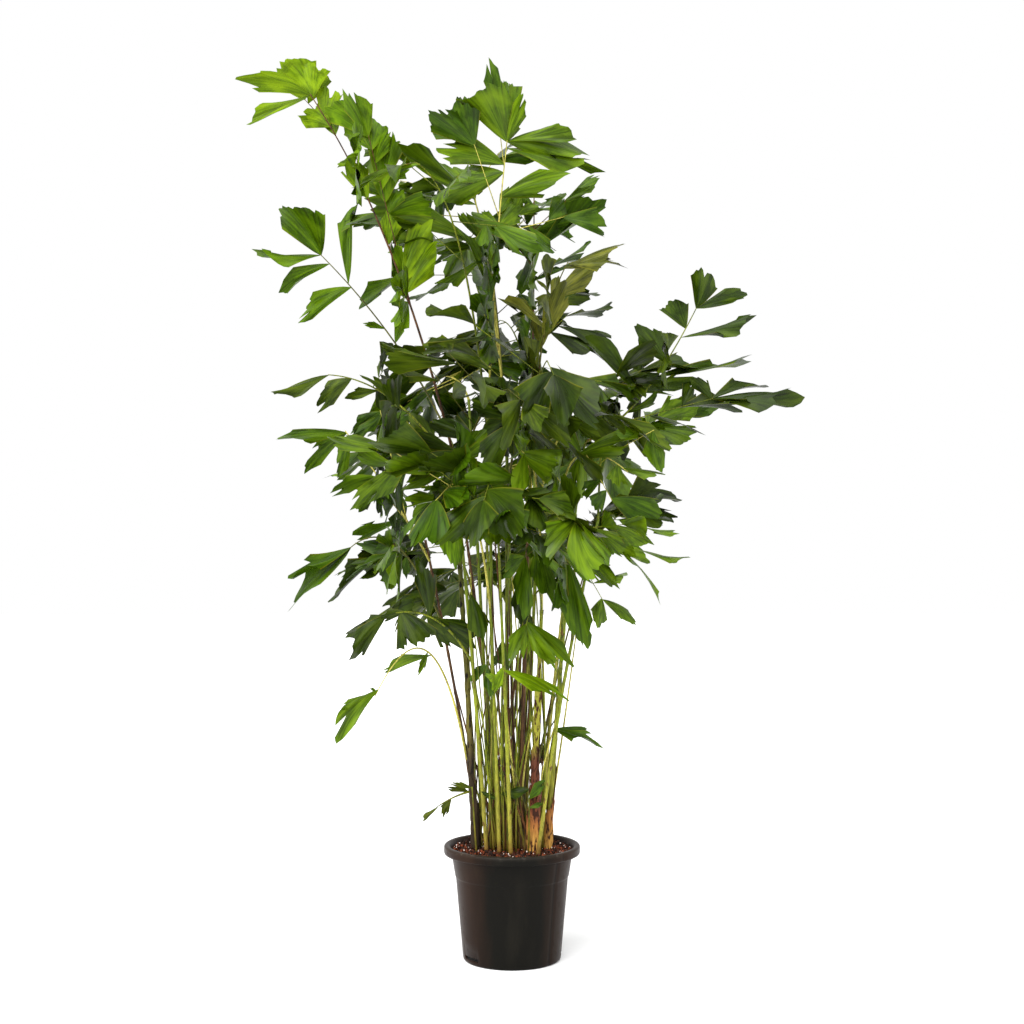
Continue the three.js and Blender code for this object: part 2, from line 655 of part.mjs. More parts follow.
// The stalk, side ribs and leaflets of a frond whose leaflets show one by one
function shownFrond(row, index) {
  const draw = drawsFrom(1000 + 37 * index);
  const cane = canes[row.cane];
  const stalk = bow(stalkFoot(cane, row.from), seen(row.bend), seen(row.tip));
  const leaves = row.leaflets.map((told) => shownLeaf(stalk, told, draw));
  const ribs = [];
  for (const { at, tip, leaflets } of row.ribs ?? []) {
    const curve = new THREE.LineCurve3(stalk.getPoint(at), seen(tip));
    ribs.push(curve);
    leaves.push(...leaflets.map((told) => shownLeaf(curve, told, draw)));
  }
  for (const [at, angle, length, count, size] of row.sprigs) {
    const turn = degToRad(angle);
    const from = stalk.getPoint(at);
    const run = new THREE.Vector3(Math.cos(turn), (draw() - 0.5) * SPRIG_DEPTH_SWAY, Math.sin(turn));
    const curve = new THREE.LineCurve3(from, from.clone().add(run.setLength(length)));
    const side = new THREE.Vector3(-Math.sin(turn), 0.3, Math.cos(turn)).normalize();
    ribs.push(curve);
    leaves.push(...grownLeaves(curve, side, count, size, draw));
  }
  return { row, cane, stalk, ribs, leaves };
}

// A frond that fills the crown: side ribs on both sides of its stalk, each with leaflets, and one rib at
// its tip
function fillFrond(row, index) {
  const draw = drawsFrom(5000 + 53 * index);
  const cane = canes[row.cane];
  const foot = stalkFoot(cane, row.from);
  const turn = degToRad(row.turn);
  const out = new THREE.Vector3(Math.cos(turn), Math.sin(turn), 0);
  const bend = foot.clone().addScaledVector(out, FILL_BEND_OUT * row.reach);
  bend.addScaledVector(UP, FILL_BEND_UP * row.rise);
  const tip = foot.clone().addScaledVector(out, row.reach).addScaledVector(UP, row.rise);
  const stalk = bow(foot, bend, tip);
  const level = new THREE.Vector3(-Math.sin(turn), Math.cos(turn), 0);
  const roll = lerp(-FILL_ROLL, FILL_ROLL, draw());
  const side = level.multiplyScalar(Math.cos(roll)).addScaledVector(UP, Math.sin(roll));
  const ribs = [];
  const leaves = [];
  for (let i = 0; i < FILL_RIBS; i += 1) {
    const last = i === FILL_RIBS - 1;
    const at = last ? 1 : lerp(FILL_BARE, 1, (i + 0.3) / FILL_RIBS);
    const swing = last ? 0 : (i % 2 ? 1 : -1) * lerp(...FILL_RIB_SWING, draw());
    const along = stalk.getTangent(at).multiplyScalar(Math.cos(swing)).addScaledVector(side, Math.sin(swing));
    along.addScaledVector(UP, last ? -FILL_END_DROOP : -FILL_RIB_DROOP);
    const length = row.size * lerp(...FILL_RIB_LENGTH, draw()) * (last ? FILL_END_RIB : 1);
    const from = stalk.getPoint(at);
    const curve = new THREE.LineCurve3(from, from.clone().add(along.setLength(length)));
    const ribSide = new THREE.Vector3().crossVectors(curve.getTangent(0.5), UP).normalize();
    ribSide.addScaledVector(UP, lerp(-FILL_RIB_TILT, FILL_RIB_TILT, draw())).normalize();
    ribs.push(curve);
    leaves.push(...grownLeaves(curve, ribSide, FILL_RIB_LEAVES, row.size, draw));
  }
  return { row, cane, stalk, ribs, leaves };
}

function overlaps(a, b) {
  const [p, q] = [a.boundingBox(), b.boundingBox()];
  const apart = [0, 1, 2].some((axis) => p.min[axis] > q.max[axis] || q.min[axis] > p.max[axis]);
  return !apart && a.intersect(b).volume() > 0;
}

// Every stalk and rib is placed before any leaflet, so that a leaflet can be kept off all of them
const fronds = [...SHOWN_FRONDS.map(shownFrond), ...FILL_FRONDS.map(fillFrond)];
const caneSolids = canes.map((cane) => rod(cane.curve, cane.radii, CANE_SIDES, CANE_STEPS, true));
const caneSleeves = canes.map((cane) =>
  rod(cane.curve, cane.radii.map((radius) => radius + 2 * GAP), CANE_SIDES, CANE_STEPS));
fronds.forEach((frond) => {
  frond.limbs = [
    rod(frond.stalk, stalkRadii(frond.cane, frond.row.from), RIB_SIDES, STALK_STEPS),
    ...frond.ribs.map((rib) => rod(rib, RIB_RADII, RIB_SIDES, RIB_STEPS)),
  ];
  frond.blades = [];
  frond.tips = [];
});

// A leaflet stays if it clears the canes, the other fronds and the outer parts of its own frond's
// leaflets.
// The largest leaflets are placed first.
fronds.forEach((frond) => {
  const largestFirst = [...frond.leaves].sort((a, b) => b.length * b.halfWidth - a.length * a.halfWidth);
  largestFirst.forEach((leaf) => {
    const blade = leafSolid(leaf, false);
    const tip = leafSolid(leaf, true);
    const others = fronds.filter((other) => other !== frond);
    const blocked = caneSleeves.some((cane) => overlaps(blade, cane))
      || frond.tips.some((other) => overlaps(tip, other))
      || others.some((other) => [...other.limbs, ...other.blades].some((solid) => overlaps(blade, solid)));
    if (blocked) return;
    frond.blades.push(blade);
    frond.tips.push(tip);
  });
});

const palm = new THREE.Group();
palm.name = 'clustering_fishtail_palm';

function addMesh(name, geometry, colour, roughness) {
  const material = new THREE.MeshStandardMaterial({ color: COLOURS[colour], roughness, metalness: 0 });
  const mesh = new THREE.Mesh(geometry, material);
  mesh.name = name;
  palm.add(mesh);
}

const POT_LIP_UNDER = POT_HEIGHT - POT_LIP_HEIGHT;

// Radius of the pot's inner wall, which follows the outer wall up to the lip and flares out to the mouth
function insideRadius(height) {
  if (height < POT_STEP_HEIGHT) {
    const share = (height - POT_FLOOR) / (POT_STEP_HEIGHT - POT_FLOOR);
    return lerp(POT_BASE_RADIUS, POT_STEP_RADIUS, share) - POT_WALL;
  }
  if (height < POT_LIP_UNDER) {
    const share = (height - POT_STEP_HEIGHT) / (POT_LIP_UNDER - POT_STEP_HEIGHT);
    return lerp(POT_STEP_RADIUS, POT_SHOULDER_RADIUS, share) - POT_WALL;
  }
  const share = (height - POT_LIP_UNDER) / POT_LIP_HEIGHT;
  return lerp(POT_SHOULDER_RADIUS - POT_WALL, POT_MOUTH_RADIUS, share);
}

function lathe(profile) {
  const points = profile.map(([radius, height]) => new THREE.Vector2(radius, height));
  return new THREE.LatheGeometry(points, POT_SIDES).rotateX(Math.PI / 2);
}

// Pot: outer wall with its step and rolled lip, then down the inner wall to the floor
function potGeometry() {
  return lathe([
    [0, 0],
    [POT_BASE_RADIUS - POT_FOOT_ROUNDING, 0],
    [POT_BASE_RADIUS, POT_FOOT_ROUNDING],
    [POT_STEP_RADIUS, POT_STEP_HEIGHT],
    [POT_COLLAR_RADIUS, POT_STEP_HEIGHT + POT_STEP_RISE],
    [POT_SHOULDER_RADIUS, POT_LIP_UNDER],
    [POT_RIM_RADIUS - POT_LIP_ROUNDING / 2, POT_LIP_UNDER],
    [POT_RIM_RADIUS, POT_HEIGHT - POT_LIP_HEIGHT / 2],
    [POT_RIM_RADIUS - POT_LIP_ROUNDING, POT_HEIGHT],
    [POT_MOUTH_RADIUS, POT_HEIGHT],
    [insideRadius(POT_LIP_UNDER), POT_LIP_UNDER],
    [insideRadius(POT_STEP_HEIGHT), POT_STEP_HEIGHT],
    [insideRadius(POT_FLOOR), POT_FLOOR],
    [0, POT_FLOOR],
  ]);
}

// Soil: fills the pot from its floor, clear of the wall, to a level top
function soilGeometry() {
  const bottom = POT_FLOOR + GAP;
  const heights = [bottom, POT_STEP_HEIGHT, POT_LIP_UNDER, SOIL_TOP];
  const wall = heights.map((height) => [insideRadius(height) - 2 * GAP, height]);
  return lathe([[0, bottom], ...wall, [0, SOIL_TOP]]);
}

addMesh('pot', geometryOf(solidOf(potGeometry())), 'pot', 0.55);
addMesh('soil', geometryOf(solidOf(soilGeometry())), 'soil', 0.95);
canes.forEach((cane, i) => addMesh(cane.name, geometryOf(caneSolids[i]), cane.colour, 0.5));
fronds.forEach((frond) => {
  const joined = wasm.Manifold.union([...frond.limbs, ...frond.blades]);
  const clear = joined.subtract(caneSleeves[frond.row.cane]);
  addMesh(frond.row.name, geometryOf(clear), frond.row.colour, 0.4);
});

export default palm;
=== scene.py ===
# %% [markdown]
# # A clustering fishtail palm in its nursery pot
#
# This palm grows as a clump of slender canes. Its fronds are feathers of feathers: a stalk bears side ribs,
# and each rib bears ragged, wedge-shaped leaflets that look like fish tails. The scene dresses a plain
# model of the plant: every frond, cane and the pot is made again here, finer, in the place that the plain
# model gives it. We work in millimetres and shrink each finished piece to metres, which is Blender's unit.

# %% Tools and the plain model
import math
from collections import namedtuple
import bmesh
import bpy
from mathutils import Euler, Matrix, Vector, noise


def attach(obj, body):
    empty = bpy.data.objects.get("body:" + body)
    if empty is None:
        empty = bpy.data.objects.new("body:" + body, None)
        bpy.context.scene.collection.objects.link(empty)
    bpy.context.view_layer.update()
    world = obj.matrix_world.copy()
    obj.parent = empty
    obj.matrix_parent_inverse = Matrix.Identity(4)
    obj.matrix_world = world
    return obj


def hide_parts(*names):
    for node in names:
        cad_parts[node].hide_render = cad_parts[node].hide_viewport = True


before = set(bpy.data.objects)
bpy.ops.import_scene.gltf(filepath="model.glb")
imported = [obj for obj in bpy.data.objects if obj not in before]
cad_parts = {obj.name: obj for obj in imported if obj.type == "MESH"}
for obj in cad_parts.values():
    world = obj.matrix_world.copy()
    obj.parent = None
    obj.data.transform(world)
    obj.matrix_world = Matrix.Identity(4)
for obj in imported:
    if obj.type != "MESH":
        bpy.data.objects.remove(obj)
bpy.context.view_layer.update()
MM = 0.001
UP = Vector((0, 0, 1))
TO_FRONT = Vector((0, -1, 0))

# %% [markdown]
# ## The plant's places
#
# A plant is easier to draw as it looks from one side. So the tables below give each place as it is seen
# from straight in front: how far across, how high, and how deep it lies. `seen` turns such a place into a
# true one. The canes come first: name, foot in the pot, tip, thickness at both ends, and bark.

# %% Canes
CANE_ROWS = [
    ("dark_left", (-90, -5), (-150, 1270, -40), (11, 5), "bark"),
    ("left_outer", (-80, 34), (-217, 1045, 60), (5, 3.2), "brown"),
    ("left_front", (-63, -40), (-142, 1215, -130), (5.5, 3.4), "green"),
    ("left_back", (-50, 52), (-108, 1395, 100), (5.5, 3.4), "green"),
    ("middle_left", (-44, 2), (-58, 1355, -15), (6, 3.6), "green"),
    ("front_left", (-31, -58), (-60, 990, -150), (5, 3.4), "green"),
    ("middle", (-14, 24), (-12, 1320, 40), (6.5, 3.8), "green"),
    ("front", (-3, -74), (-28, 895, -170), (5.5, 3.6), "green"),
    ("back", (6, 64), (-8, 1095, 160), (6, 3.5), "green"),
    ("brown", (20, -12), (47, 1290, -10), (6.5, 3.5), "brown"),
    ("middle_back", (32, 36), (70, 1195, 90), (6, 3.6), "green"),
    ("sheathed", (52, -44), (74, 870, -95), (13, 4.5), "sheath"),
    ("right", (89, -4), (145, 995, 0), (8, 4), "green"),
    ("right_middle", (64, 12), (182, 1290, 30), (5.5, 3.6), "green"),
    ("right_front", (64, -86), (150, 795, -190), (5, 3.4), "green"),
    ("back_left", (-26, 90), (-120, 1095, 250), (6, 3.6), "brown"),
    ("far_back", (24, 100), (60, 1270, 240), (6.5, 3.8), "green"),
    ("back_right", (62, 68), (215, 1095, 190), (6, 3.6), "green"),
]
CANES = [
    {"name": f"cane_{name}", "foot": foot, "tip": tip, "radii": radii, "colour": colour}
    for name, foot, tip, radii, colour in CANE_ROWS
]

# %% [markdown]
# ## Fronds told leaflet by leaflet
#
# A row starts with the number of the frond's cane and how far up that cane it sets off. Then come the bend
# and the tip of its stalk, its green, and its leaflets. They are told on a front view drawn on squares of
# 2.5 mm that are counted from its upper left corner: foot across and down, tip across and down, and width.
# A negative width mirrors the leaflet. Side ribs are told the same way, from a share of the stalk to their
# own tip. A sprig is a rib whose leaflets grow by rule: place, direction, length, how many, and how long.

# %% Fronds that face us
def told_rib(at, tip, *leaflets):
    return {"at": at, "tip": tip, "leaflets": leaflets}


def told_frond(name, cane, start, bend, tip, colour, *leaflets, ribs=(), sprigs=()):
    return {
        "name": f"frond_{name}", "cane": cane, "from": start, "bend": bend, "tip": tip, "colour": colour,
        "leaflets": leaflets, "ribs": ribs, "sprigs": sprigs,
    }


SHOWN_FRONDS = [
    told_frond(
        "upper_left", 0, 1, (-285, 1830, -140), (-505, 2160, -190), "bright",
        (303, 97, 240, 84, 20), (296, 101, 243, 118, 14), (306, 98, 281, 57, 48), (318, 96, 312, 58, 34),
        (333, 127, 295, 107, 26), (345, 128, 317, 84, 32), (370, 200, 350, 160, 26),
        (353, 166, 338, 160, 12), (388, 247, 392, 211, 22), (405, 282, 434, 216, 36),
        (402, 280, 400, 238, 16), (416, 290, 442, 240, 30),
        ribs=[
            told_rib(
                0.88, (-520, 2148, -120), (300, 98, 284, 60, 40), (312, 100, 322, 64, 28),
                (330, 120, 330, 84, 28),
            ),
            told_rib(
                0.34, (-360, 2060, -230), (366, 138, 328, 92, 36), (366, 136, 351, 88, 28),
                (372, 150, 370, 108, 28), (376, 190, 388, 119, 34), (380, 205, 378, 135, 32),
                (372, 165, 392, 128, 26), (368, 150, 345, 112, 26), (382, 215, 400, 182, 24),
            ),
        ],
        sprigs=[(0.5, 92, 210, 3, 110)],
    ),
    told_frond(
        "left_high", 3, 0.76, (-200, 1480, 90), (-480, 1760, 110), "bright",
        (320, 255, 290, 203, 46), (316, 254, 247, 256, -13), (330, 266, 274, 297, -17),
        (351, 287, 291, 319, 24), (350, 282, 354, 190, 22), (380, 332, 362, 324, 8),
        (395, 345, 402, 318, 12),
    ),
    told_frond(
        "top", 4, 1, (-52, 1700, -30), (-12, 2045, -60), "mid",
        (506, 134, 486, 88, 66), (512, 131, 581, 134, -17), (512, 140, 592, 158, 34),
        (540, 150, 610, 171, 20), (506, 130, 529, 93, 18), (500, 165, 430, 150, 34),
        (505, 172, 430, 196, 38), (512, 200, 572, 182, 30), (500, 228, 522, 204, 24),
        (500, 215, 512, 184, 16), (498, 225, 470, 208, 16), (492, 275, 483, 215, 14),
        (506, 133, 514, 118, 18),
        ribs=[
            told_rib(
                0.72, (-95, 2035, -100), (466, 143, 430, 110, 38), (480, 142, 458, 98, 34),
                (470, 142, 463, 79, 20), (478, 142, 425, 128, 9),
            ),
            told_rib(
                0.9, (-36, 2112, 20), (482, 95, 490, 57, 22), (485, 95, 512, 74, 26),
                (498, 110, 516, 84, 20),
            ),
        ],
        sprigs=[(0.66, 14, 170, 2, 105)],
    ),
    told_frond(
        "top_left", 6, 1, (-40, 1610, 50), (-92, 1900, 110), "mid",
        (462, 184, 386, 146, 28), (466, 250, 364, 202, 20), (470, 248, 433, 250, 9),
        (475, 205, 415, 190, 16), (478, 190, 440, 152, 32), (472, 245, 460, 208, 16),
        (486, 262, 484, 206, 14), (486, 290, 462, 226, 16), (484, 255, 434, 288, 14),
        sprigs=[(0.8, 40, 120, 2, 95)],
    ),
    told_frond(
        "thin_brown", 9, 1, (56, 1600, 60), (55, 1960, 170), "mid",
        (520, 237, 588, 213, 24), (548, 252, 607, 200, -18), (505, 268, 516, 228, 12),
        (521, 205, 504, 190, 14),
        ribs=[
            told_rib(
                0.8, (135, 1895, 120), (566, 199, 606, 176, 11), (556, 202, 596, 188, 14),
                (548, 206, 580, 214, 14),
            ),
        ],
        sprigs=[(0.66, 128, 60, 1, 70), (0.78, 125, 70, 2, 85)],
    ),
    told_frond(
        "olive", 10, 1, (40, 1560, -40), (140, 1740, -130), "olive",
        (524, 338, 566, 280, 26), (548, 296, 604, 262, 24), (575, 275, 634, 250, 18),
        (585, 268, 632, 266, 14), (520, 325, 500, 293, 14), (530, 345, 538, 312, 20),
        (545, 300, 560, 272, 14),
    ),
    told_frond(
        "right", 13, 1, (322, 1345, 10), (463, 1629, 60), "dark",
        (697, 306, 706, 267, 30), (697, 307, 757, 290, 18), (682, 327, 668, 299, 29),
        (678, 335, 763, 321, 11), (661, 360, 634, 325, 29), (655, 375, 763, 359, -20),
        (640, 395, 575, 326, 22), (597, 412, 553, 357, 26), (650, 392, 700, 381, 15),
        (632, 420, 661, 395, 9), (640, 392, 606, 386, 12),
        ribs=[
            told_rib(
                0.26, (503, 1399, -60), (684, 415, 696, 383, 22), (712, 398, 772, 382, -13),
                (716, 400, 806, 399, 6), (716, 400, 784, 404, 11), (680, 425, 748, 409, -10),
                (650, 422, 705, 437, 12), (712, 392, 690, 374, 16),
            ),
        ],
    ),
    told_frond(
        "right_middle", 12, 0.86, (70, 1400, -119), (290, 1215, -170), "mid",
        (558, 437, 648, 440, 29), (620, 460, 617, 490, 22), (608, 485, 668, 482, 9),
        (568, 427, 535, 391, 22), (585, 460, 578, 500, 20),
        ribs=[
            told_rib(0.86, (355, 1320, -210), (655, 430, 658, 478, 22), (640, 440, 612, 430, 14)),
            told_rib(
                0.7, (250, 1145, -210), (612, 503, 663, 521, 34), (606, 490, 592, 510, 20),
                (600, 480, 580, 495, 16),
            ),
        ],
    ),
    told_frond(
        "right_low", 12, 1, (165, 1120, -140), (160, 1108, -200), "mid",
        (578, 556, 622, 592, 21), (570, 520, 548, 545, 24), (572, 528, 648, 560, 27),
        (570, 540, 618, 556, 22),
        ribs=[
            told_rib(
                0.15, (228, 893, -60), (604, 604, 641, 630, 14), (602, 598, 598, 632, 18),
                (598, 580, 636, 575, 9),
            ),
        ],
    ),
    told_frond(
        "hanging", 14, 1, (170, 1130, -230), (30, 1000, -250), "mid",
        (555, 565, 580, 655, 29), (545, 560, 548, 612, 29), (520, 578, 520, 628, 22),
        (570, 610, 586, 655, 20), (535, 555, 575, 548, 24), (525, 540, 548, 556, 22),
        (556, 575, 562, 625, 24), (512, 560, 498, 575, 20),
    ),
    told_frond(
        "right_bottom", 11, 0.92, (80, 1010, -150), (35, 830, -210), "mid",
        (526, 622, 573, 671, 22), (545, 640, 556, 676, 18), (506, 640, 504, 668, 15),
        (530, 640, 522, 662, 14),
    ),
    told_frond(
        "centre_flag", 11, 1, (75, 1300, -170), (18, 1262, -330), "mid",
        (513, 452, 560, 470, 38), (528, 510, 568, 516, 16), (520, 505, 548, 505, 20),
        (512, 452, 520, 425, 20),
    ),
    told_frond(
        "centre_front", 5, 1, (-75, 1220, -220), (-62, 1160, -380), "bright",
        (470, 503, 486, 549, 56), (470, 500, 436, 530, 22), (488, 510, 520, 530, 24),
        ribs=[
            told_rib(0.9, (-160, 1110, -300), (446, 515, 455, 574, 24), (448, 514, 428, 548, 22)),
        ],
    ),
    told_frond(
        "centre_dark", 6, 0.86, (30, 1420, -120), (5, 1335, -270), "dark",
        (506, 424, 472, 486, 29), (500, 410, 470, 440, 27), (500, 400, 470, 372, 24),
        (500, 415, 465, 400, 21),
        ribs=[
            told_rib(
                0.6, (-145, 1265, -240), (452, 460, 401, 484, 22), (452, 448, 402, 432, 18),
                (470, 430, 427, 416, 26), (462, 446, 448, 490, 24),
            ),
        ],
    ),
    told_frond(
        "left_arched", 2, 1, (-290, 1450, -110), (-460, 1458, -120), "dark",
        (328, 375, 270, 404, -13), (350, 386, 308, 410, 22), (378, 393, 344, 399, -9),
        (408, 375, 362, 372, 8), (440, 440, 408, 408, 21), (420, 440, 402, 432, 14),
    ),
    told_frond(
        "left_middle", 1, 0.93, (-270, 1120, 30), (-417, 1318, 0), "mid",
        (345, 428, 274, 444, -20), (340, 438, 296, 472, 22), (343, 443, 334, 478, 17),
        (382, 475, 324, 496, 18), (386, 478, 354, 513, 18), (386, 480, 388, 514, 18),
        (405, 517, 350, 537, 10),
        ribs=[
            told_rib(
                0.36, (-330, 1370, 40), (380, 409, 347, 438, 22), (378, 416, 357, 440, -15),
                (392, 424, 388, 398, 14), (398, 440, 376, 450, 21), (400, 445, 440, 434, 14),
                (396, 430, 418, 412, 20),
            ),
        ],
    ),
    told_frond(
        "left_inner", 2, 0.82, (-150, 1260, -190), (-148, 1228, -230), "mid",
        (453, 467, 397, 487, 22), (455, 465, 446, 508, 22), (456, 462, 402, 462, 21),
        (458, 460, 414, 438, 22), (460, 458, 490, 430, 22),
    ),
    told_frond(
        "left_low", 1, 0.72, (-285, 1130, -20), (-405, 1025, -60), "mid",
        (347, 553, 287, 578, -11), (350, 560, 284, 612, 22), (417, 545, 352, 543, 20),
        (382, 570, 342, 577, 5), (385, 560, 379, 599, 24), (398, 550, 366, 560, 24),
        (395, 566, 404, 580, 11), (412, 532, 400, 521, 10),
    ),
    told_frond(
        "left_drooping", 2, 0.5, (-190, 910, -100), (-330, 850, -110), "dark",
        (386, 612, 348, 660, 22), (400, 607, 422, 648, 46), (425, 630, 474, 660, 32),
        (440, 592, 420, 548, 22), (434, 598, 446, 636, 24), (446, 600, 482, 642, 22),
        (405, 598, 378, 618, 12), (384, 614, 358, 628, 12),
    ),
    told_frond(
        "left_bottom", 1, 0.27, (-195, 960, 0), (-342, 655, -40), "mid",
        (388, 694, 331, 738, 16), (386, 696, 340, 711, -13), (424, 662, 374, 671, 11),
        (420, 662, 418, 676, 8), (372, 700, 370, 686, 4),
    ),
    told_frond(
        "low_bright", 7, 0.62, (-25, 760, -170), (-20, 717, -200), "bright",
        (504, 671, 571, 702, 19), (478, 663, 491, 700, 12), (496, 690, 484, 672, 10),
    ),
    told_frond(
        "low_right", 12, 0.4, (100, 580, -10), (112, 570, -30), "mid",
        (545, 731, 604, 744, 9), (553, 728, 592, 736, 8),
    ),
    told_frond(
        "low_left", 0, 0.145, (-140, 410, -30), (-187, 378, -50), "olive",
        (472, 782, 446, 784, 9), (453, 802, 440, 820, 10), (440, 808, 420, 822, 4),
    ),
]

# %% [markdown]
# ## Fronds that fill the crown
#
# Nobody can tell the leaflets of the far side one by one, so those fronds grow by a rule. A row has the
# cane, the share of it where the frond sets off, the direction round the pot in degrees, how far the frond
# reaches out and up, the length of its leaflets and its green.

# %% Fronds by rule
FILL_ROWS = [
    ("back_top", 6, 0.93, 125, 240, 760, 175, "mid"),
    ("front_top", 4, 0.9, 228, 260, 700, 150, "mid"),
    ("back_high", 8, 1, 112, 230, 790, 175, "mid"),
    ("far_back_high", 16, 1, 112, 260, 370, 175, "dark"),
    ("back_left_high", 3, 1, 108, 270, 80, 165, "mid"),
    ("front_high", 9, 0.86, 278, 280, 320, 165, "dark"),
    ("back_left", 15, 1, 112, 240, 280, 175, "mid"),
    ("back_left_low", 15, 0.72, 124, 230, 200, 165, "dark"),
    ("far_back", 16, 0.82, 95, 250, 190, 175, "mid"),
    ("back_right", 17, 1, 82, 210, 220, 165, "mid"),
    ("back_right_low", 17, 0.7, 96, 230, 220, 165, "dark"),
    ("back_low", 8, 0.7, 118, 280, 130, 165, "dark"),
    ("front_left", 5, 0.84, 250, 250, 300, 165, "mid"),
    ("front_right", 14, 0.7, 275, 220, 470, 160, "mid"),
    ("front_middle", 2, 0.93, 298, 260, 250, 165, "dark"),
    ("front_low", 7, 1, 264, 230, 280, 165, "dark"),
    ("right_side", 10, 0.94, 36, 190, 250, 160, "dark"),
]
FILL_FRONDS = [
    {
        "name": f"frond_{name}", "cane": cane, "from": start, "turn": turn, "reach": reach, "rise": rise,
        "size": size, "colour": colour,
    }
    for name, cane, start, turn, reach, rise, size, colour in FILL_ROWS
]

# %% [markdown]
# ## Curves, draws and true places
#
# Stalks and canes are simple bows: two ends and a bend that pulls the curve. Plants look natural when
# nothing repeats, yet a scene must come out the same each time, so every frond has its own seeded row of
# draws.

# %% Growing tools
VIEW_DISTANCE = 4200
EYE_HEIGHT = 1115
SOIL_TOP = 275
SQUARE = 2.5
MIDDLE_SQUARE = 512
GROUND_SQUARE = 958
DRAW_FACTOR = 16807
DRAW_PRIME = 2147483647
BOW_STEPS = 12
BEND_AT = 0.4
SHOWN_SEEDS = (1000, 37)
DEPTH_SEEDS = (7000, 41)
FILL_SEEDS = (5000, 53)
FINE_SEEDS = (9000, 59)
SUCKER_SEEDS = (3000, 61)


def draws_from(seed):
    """Repeatable draws between 0 and 1."""
    state = seed

    def draw():
        nonlocal state
        state = state * DRAW_FACTOR % DRAW_PRIME
        return state / DRAW_PRIME

    return draw


def draws_of(seeds, index):
    first, step = seeds
    return draws_from(first + step * index)


def lerp(low, high, share):
    return low + (high - low) * share


def sway(most, draw):
    """A draw between -most and most."""
    return lerp(-most, most, draw())


def seen(place):
    """The true place of a point that is seen at this offset and height, and lies at this depth."""
    across, height, depth = place
    spread = 1 + depth / VIEW_DISTANCE
    return Vector((across * spread, depth, EYE_HEIGHT + (height - EYE_HEIGHT) * spread))


def drawn(across, down, depth):
    """The true place of a point on the front view's squares that lies at this depth."""
    return seen(((across - MIDDLE_SQUARE) * SQUARE, (GROUND_SQUARE - down) * SQUARE, depth))


def on_drawing(point):
    """Where a point shows on the front view, in squares across and down."""
    spread = 1 + point.y / VIEW_DISTANCE
    height = EYE_HEIGHT + (point.z - EYE_HEIGHT) / spread
    return MIDDLE_SQUARE + point.x / spread / SQUARE, GROUND_SQUARE - height / SQUARE


class Bow:
    """A curve from one point to another, drawn towards the bend between them."""

    def __init__(self, start, bend, end):
        self.start, self.bend, self.end = start, bend, end
        points = [self.point(i / BOW_STEPS) for i in range(BOW_STEPS + 1)]
        self.length = sum((b - a).length for a, b in zip(points, points[1:]))

    def point(self, share):
        left = 1 - share
        return self.start * left * left + self.bend * 2 * share * left + self.end * share * share

    def tangent(self, share):
        return ((self.bend - self.start) * (1 - share) + (self.end - self.bend) * share).normalized()


def straight(start, end):
    return Bow(start, (start + end) / 2, end)


def cane_curve(cane):
    foot = Vector((*cane["foot"], SOIL_TOP))
    tip = seen(cane["tip"])
    bend = foot.lerp(tip, BEND_AT)
    bend.z = (foot.z + tip.z) / 2
    return Bow(foot, bend, tip)


cane_curves = [cane_curve(cane) for cane in CANES]
print("canes are", [round(curve.length) for curve in cane_curves], "mm long")

# %% [markdown]
# ## How a leaflet is placed
#
# A leaflet is kept as its foot, the way it points, the way its width runs, its length and half its width.
# One that faces us is told by where its foot and tip show, and the rib's nearest point gives the depth. A
# leaflet that looks narrow is really a wide one seen edge on, so it is rolled about its own length until
# its width looks right. Its direction sways a little in depth, which a picture can't show, and it sets off
# a little higher than it looks, because its droop brings the tip down again.

# %% Leaflets seen from the front
LEAF_END_SETBACK = 4
LEAST_WIDTH = 0.3
DROOP = 0.12
DEPTH_SWAY = 1.1
NEAREST_STEPS = 60
NEAREST_FROM = 0.12
Leaflet = namedtuple("Leaflet", "foot along across length half_width")


def foot_on(curve, share):
    return curve.point(min(share, 1 - LEAF_END_SETBACK / curve.length))


def nearest_share(curve, across, down):
    """The share of the curve's length that shows nearest to a place on the front view."""
    shares = [lerp(NEAREST_FROM, 1, i / NEAREST_STEPS) for i in range(NEAREST_STEPS + 1)]
    return min(shares, key=lambda share: math.dist(on_drawing(curve.point(share)), (across, down)))


def shown_leaf(curve, told, draw):
    foot_across, foot_down, tip_across, tip_down, squares = told
    foot = foot_on(curve, nearest_share(curve, foot_across, foot_down))
    along = drawn(tip_across, tip_down, foot.y) - foot
    length = along.length
    width = squares * SQUARE
    along = along / length
    along.y = (draw() - 0.5) * DEPTH_SWAY
    along.normalize()
    reach = length / math.hypot(along.x, along.z)
    along += UP * DROOP
    stretch = reach * along.length
    along.normalize()
    true_width = max(abs(width), LEAST_WIDTH * length)
    roll = math.acos(abs(width) / true_width)
    front = (TO_FRONT - along * TO_FRONT.dot(along)).normalized()
    over = along.cross(front)
    if over.z < 0:
        over.negate()
    face = front * math.cos(roll) + over * math.sin(roll)
    across = face.cross(along) * math.copysign(1, width)
    return Leaflet(foot, along, across, stretch, true_width / 2)


# %% [markdown]
# ## How leaflets grow along a rib
#
# On the real plant leaflets stand on alternate sides of a rib, lean towards its tip, and droop under their
# own weight. Each one gets its own swing, length, width, droop and tilt from the frond's draws.

# %% Leaflets by rule
LEAFY_STRETCH = (0.3, 0.92)
SIDE_SWING = 0.75
LAST_SWING = 0.1
SWING_SWAY = 0.2
LENGTH_SHARES = (0.78, 1.18)
HALF_WIDTH_SHARES = (0.2, 0.32)
SAGS = (0.1, 0.45)
FACE_SWAY = 0.6


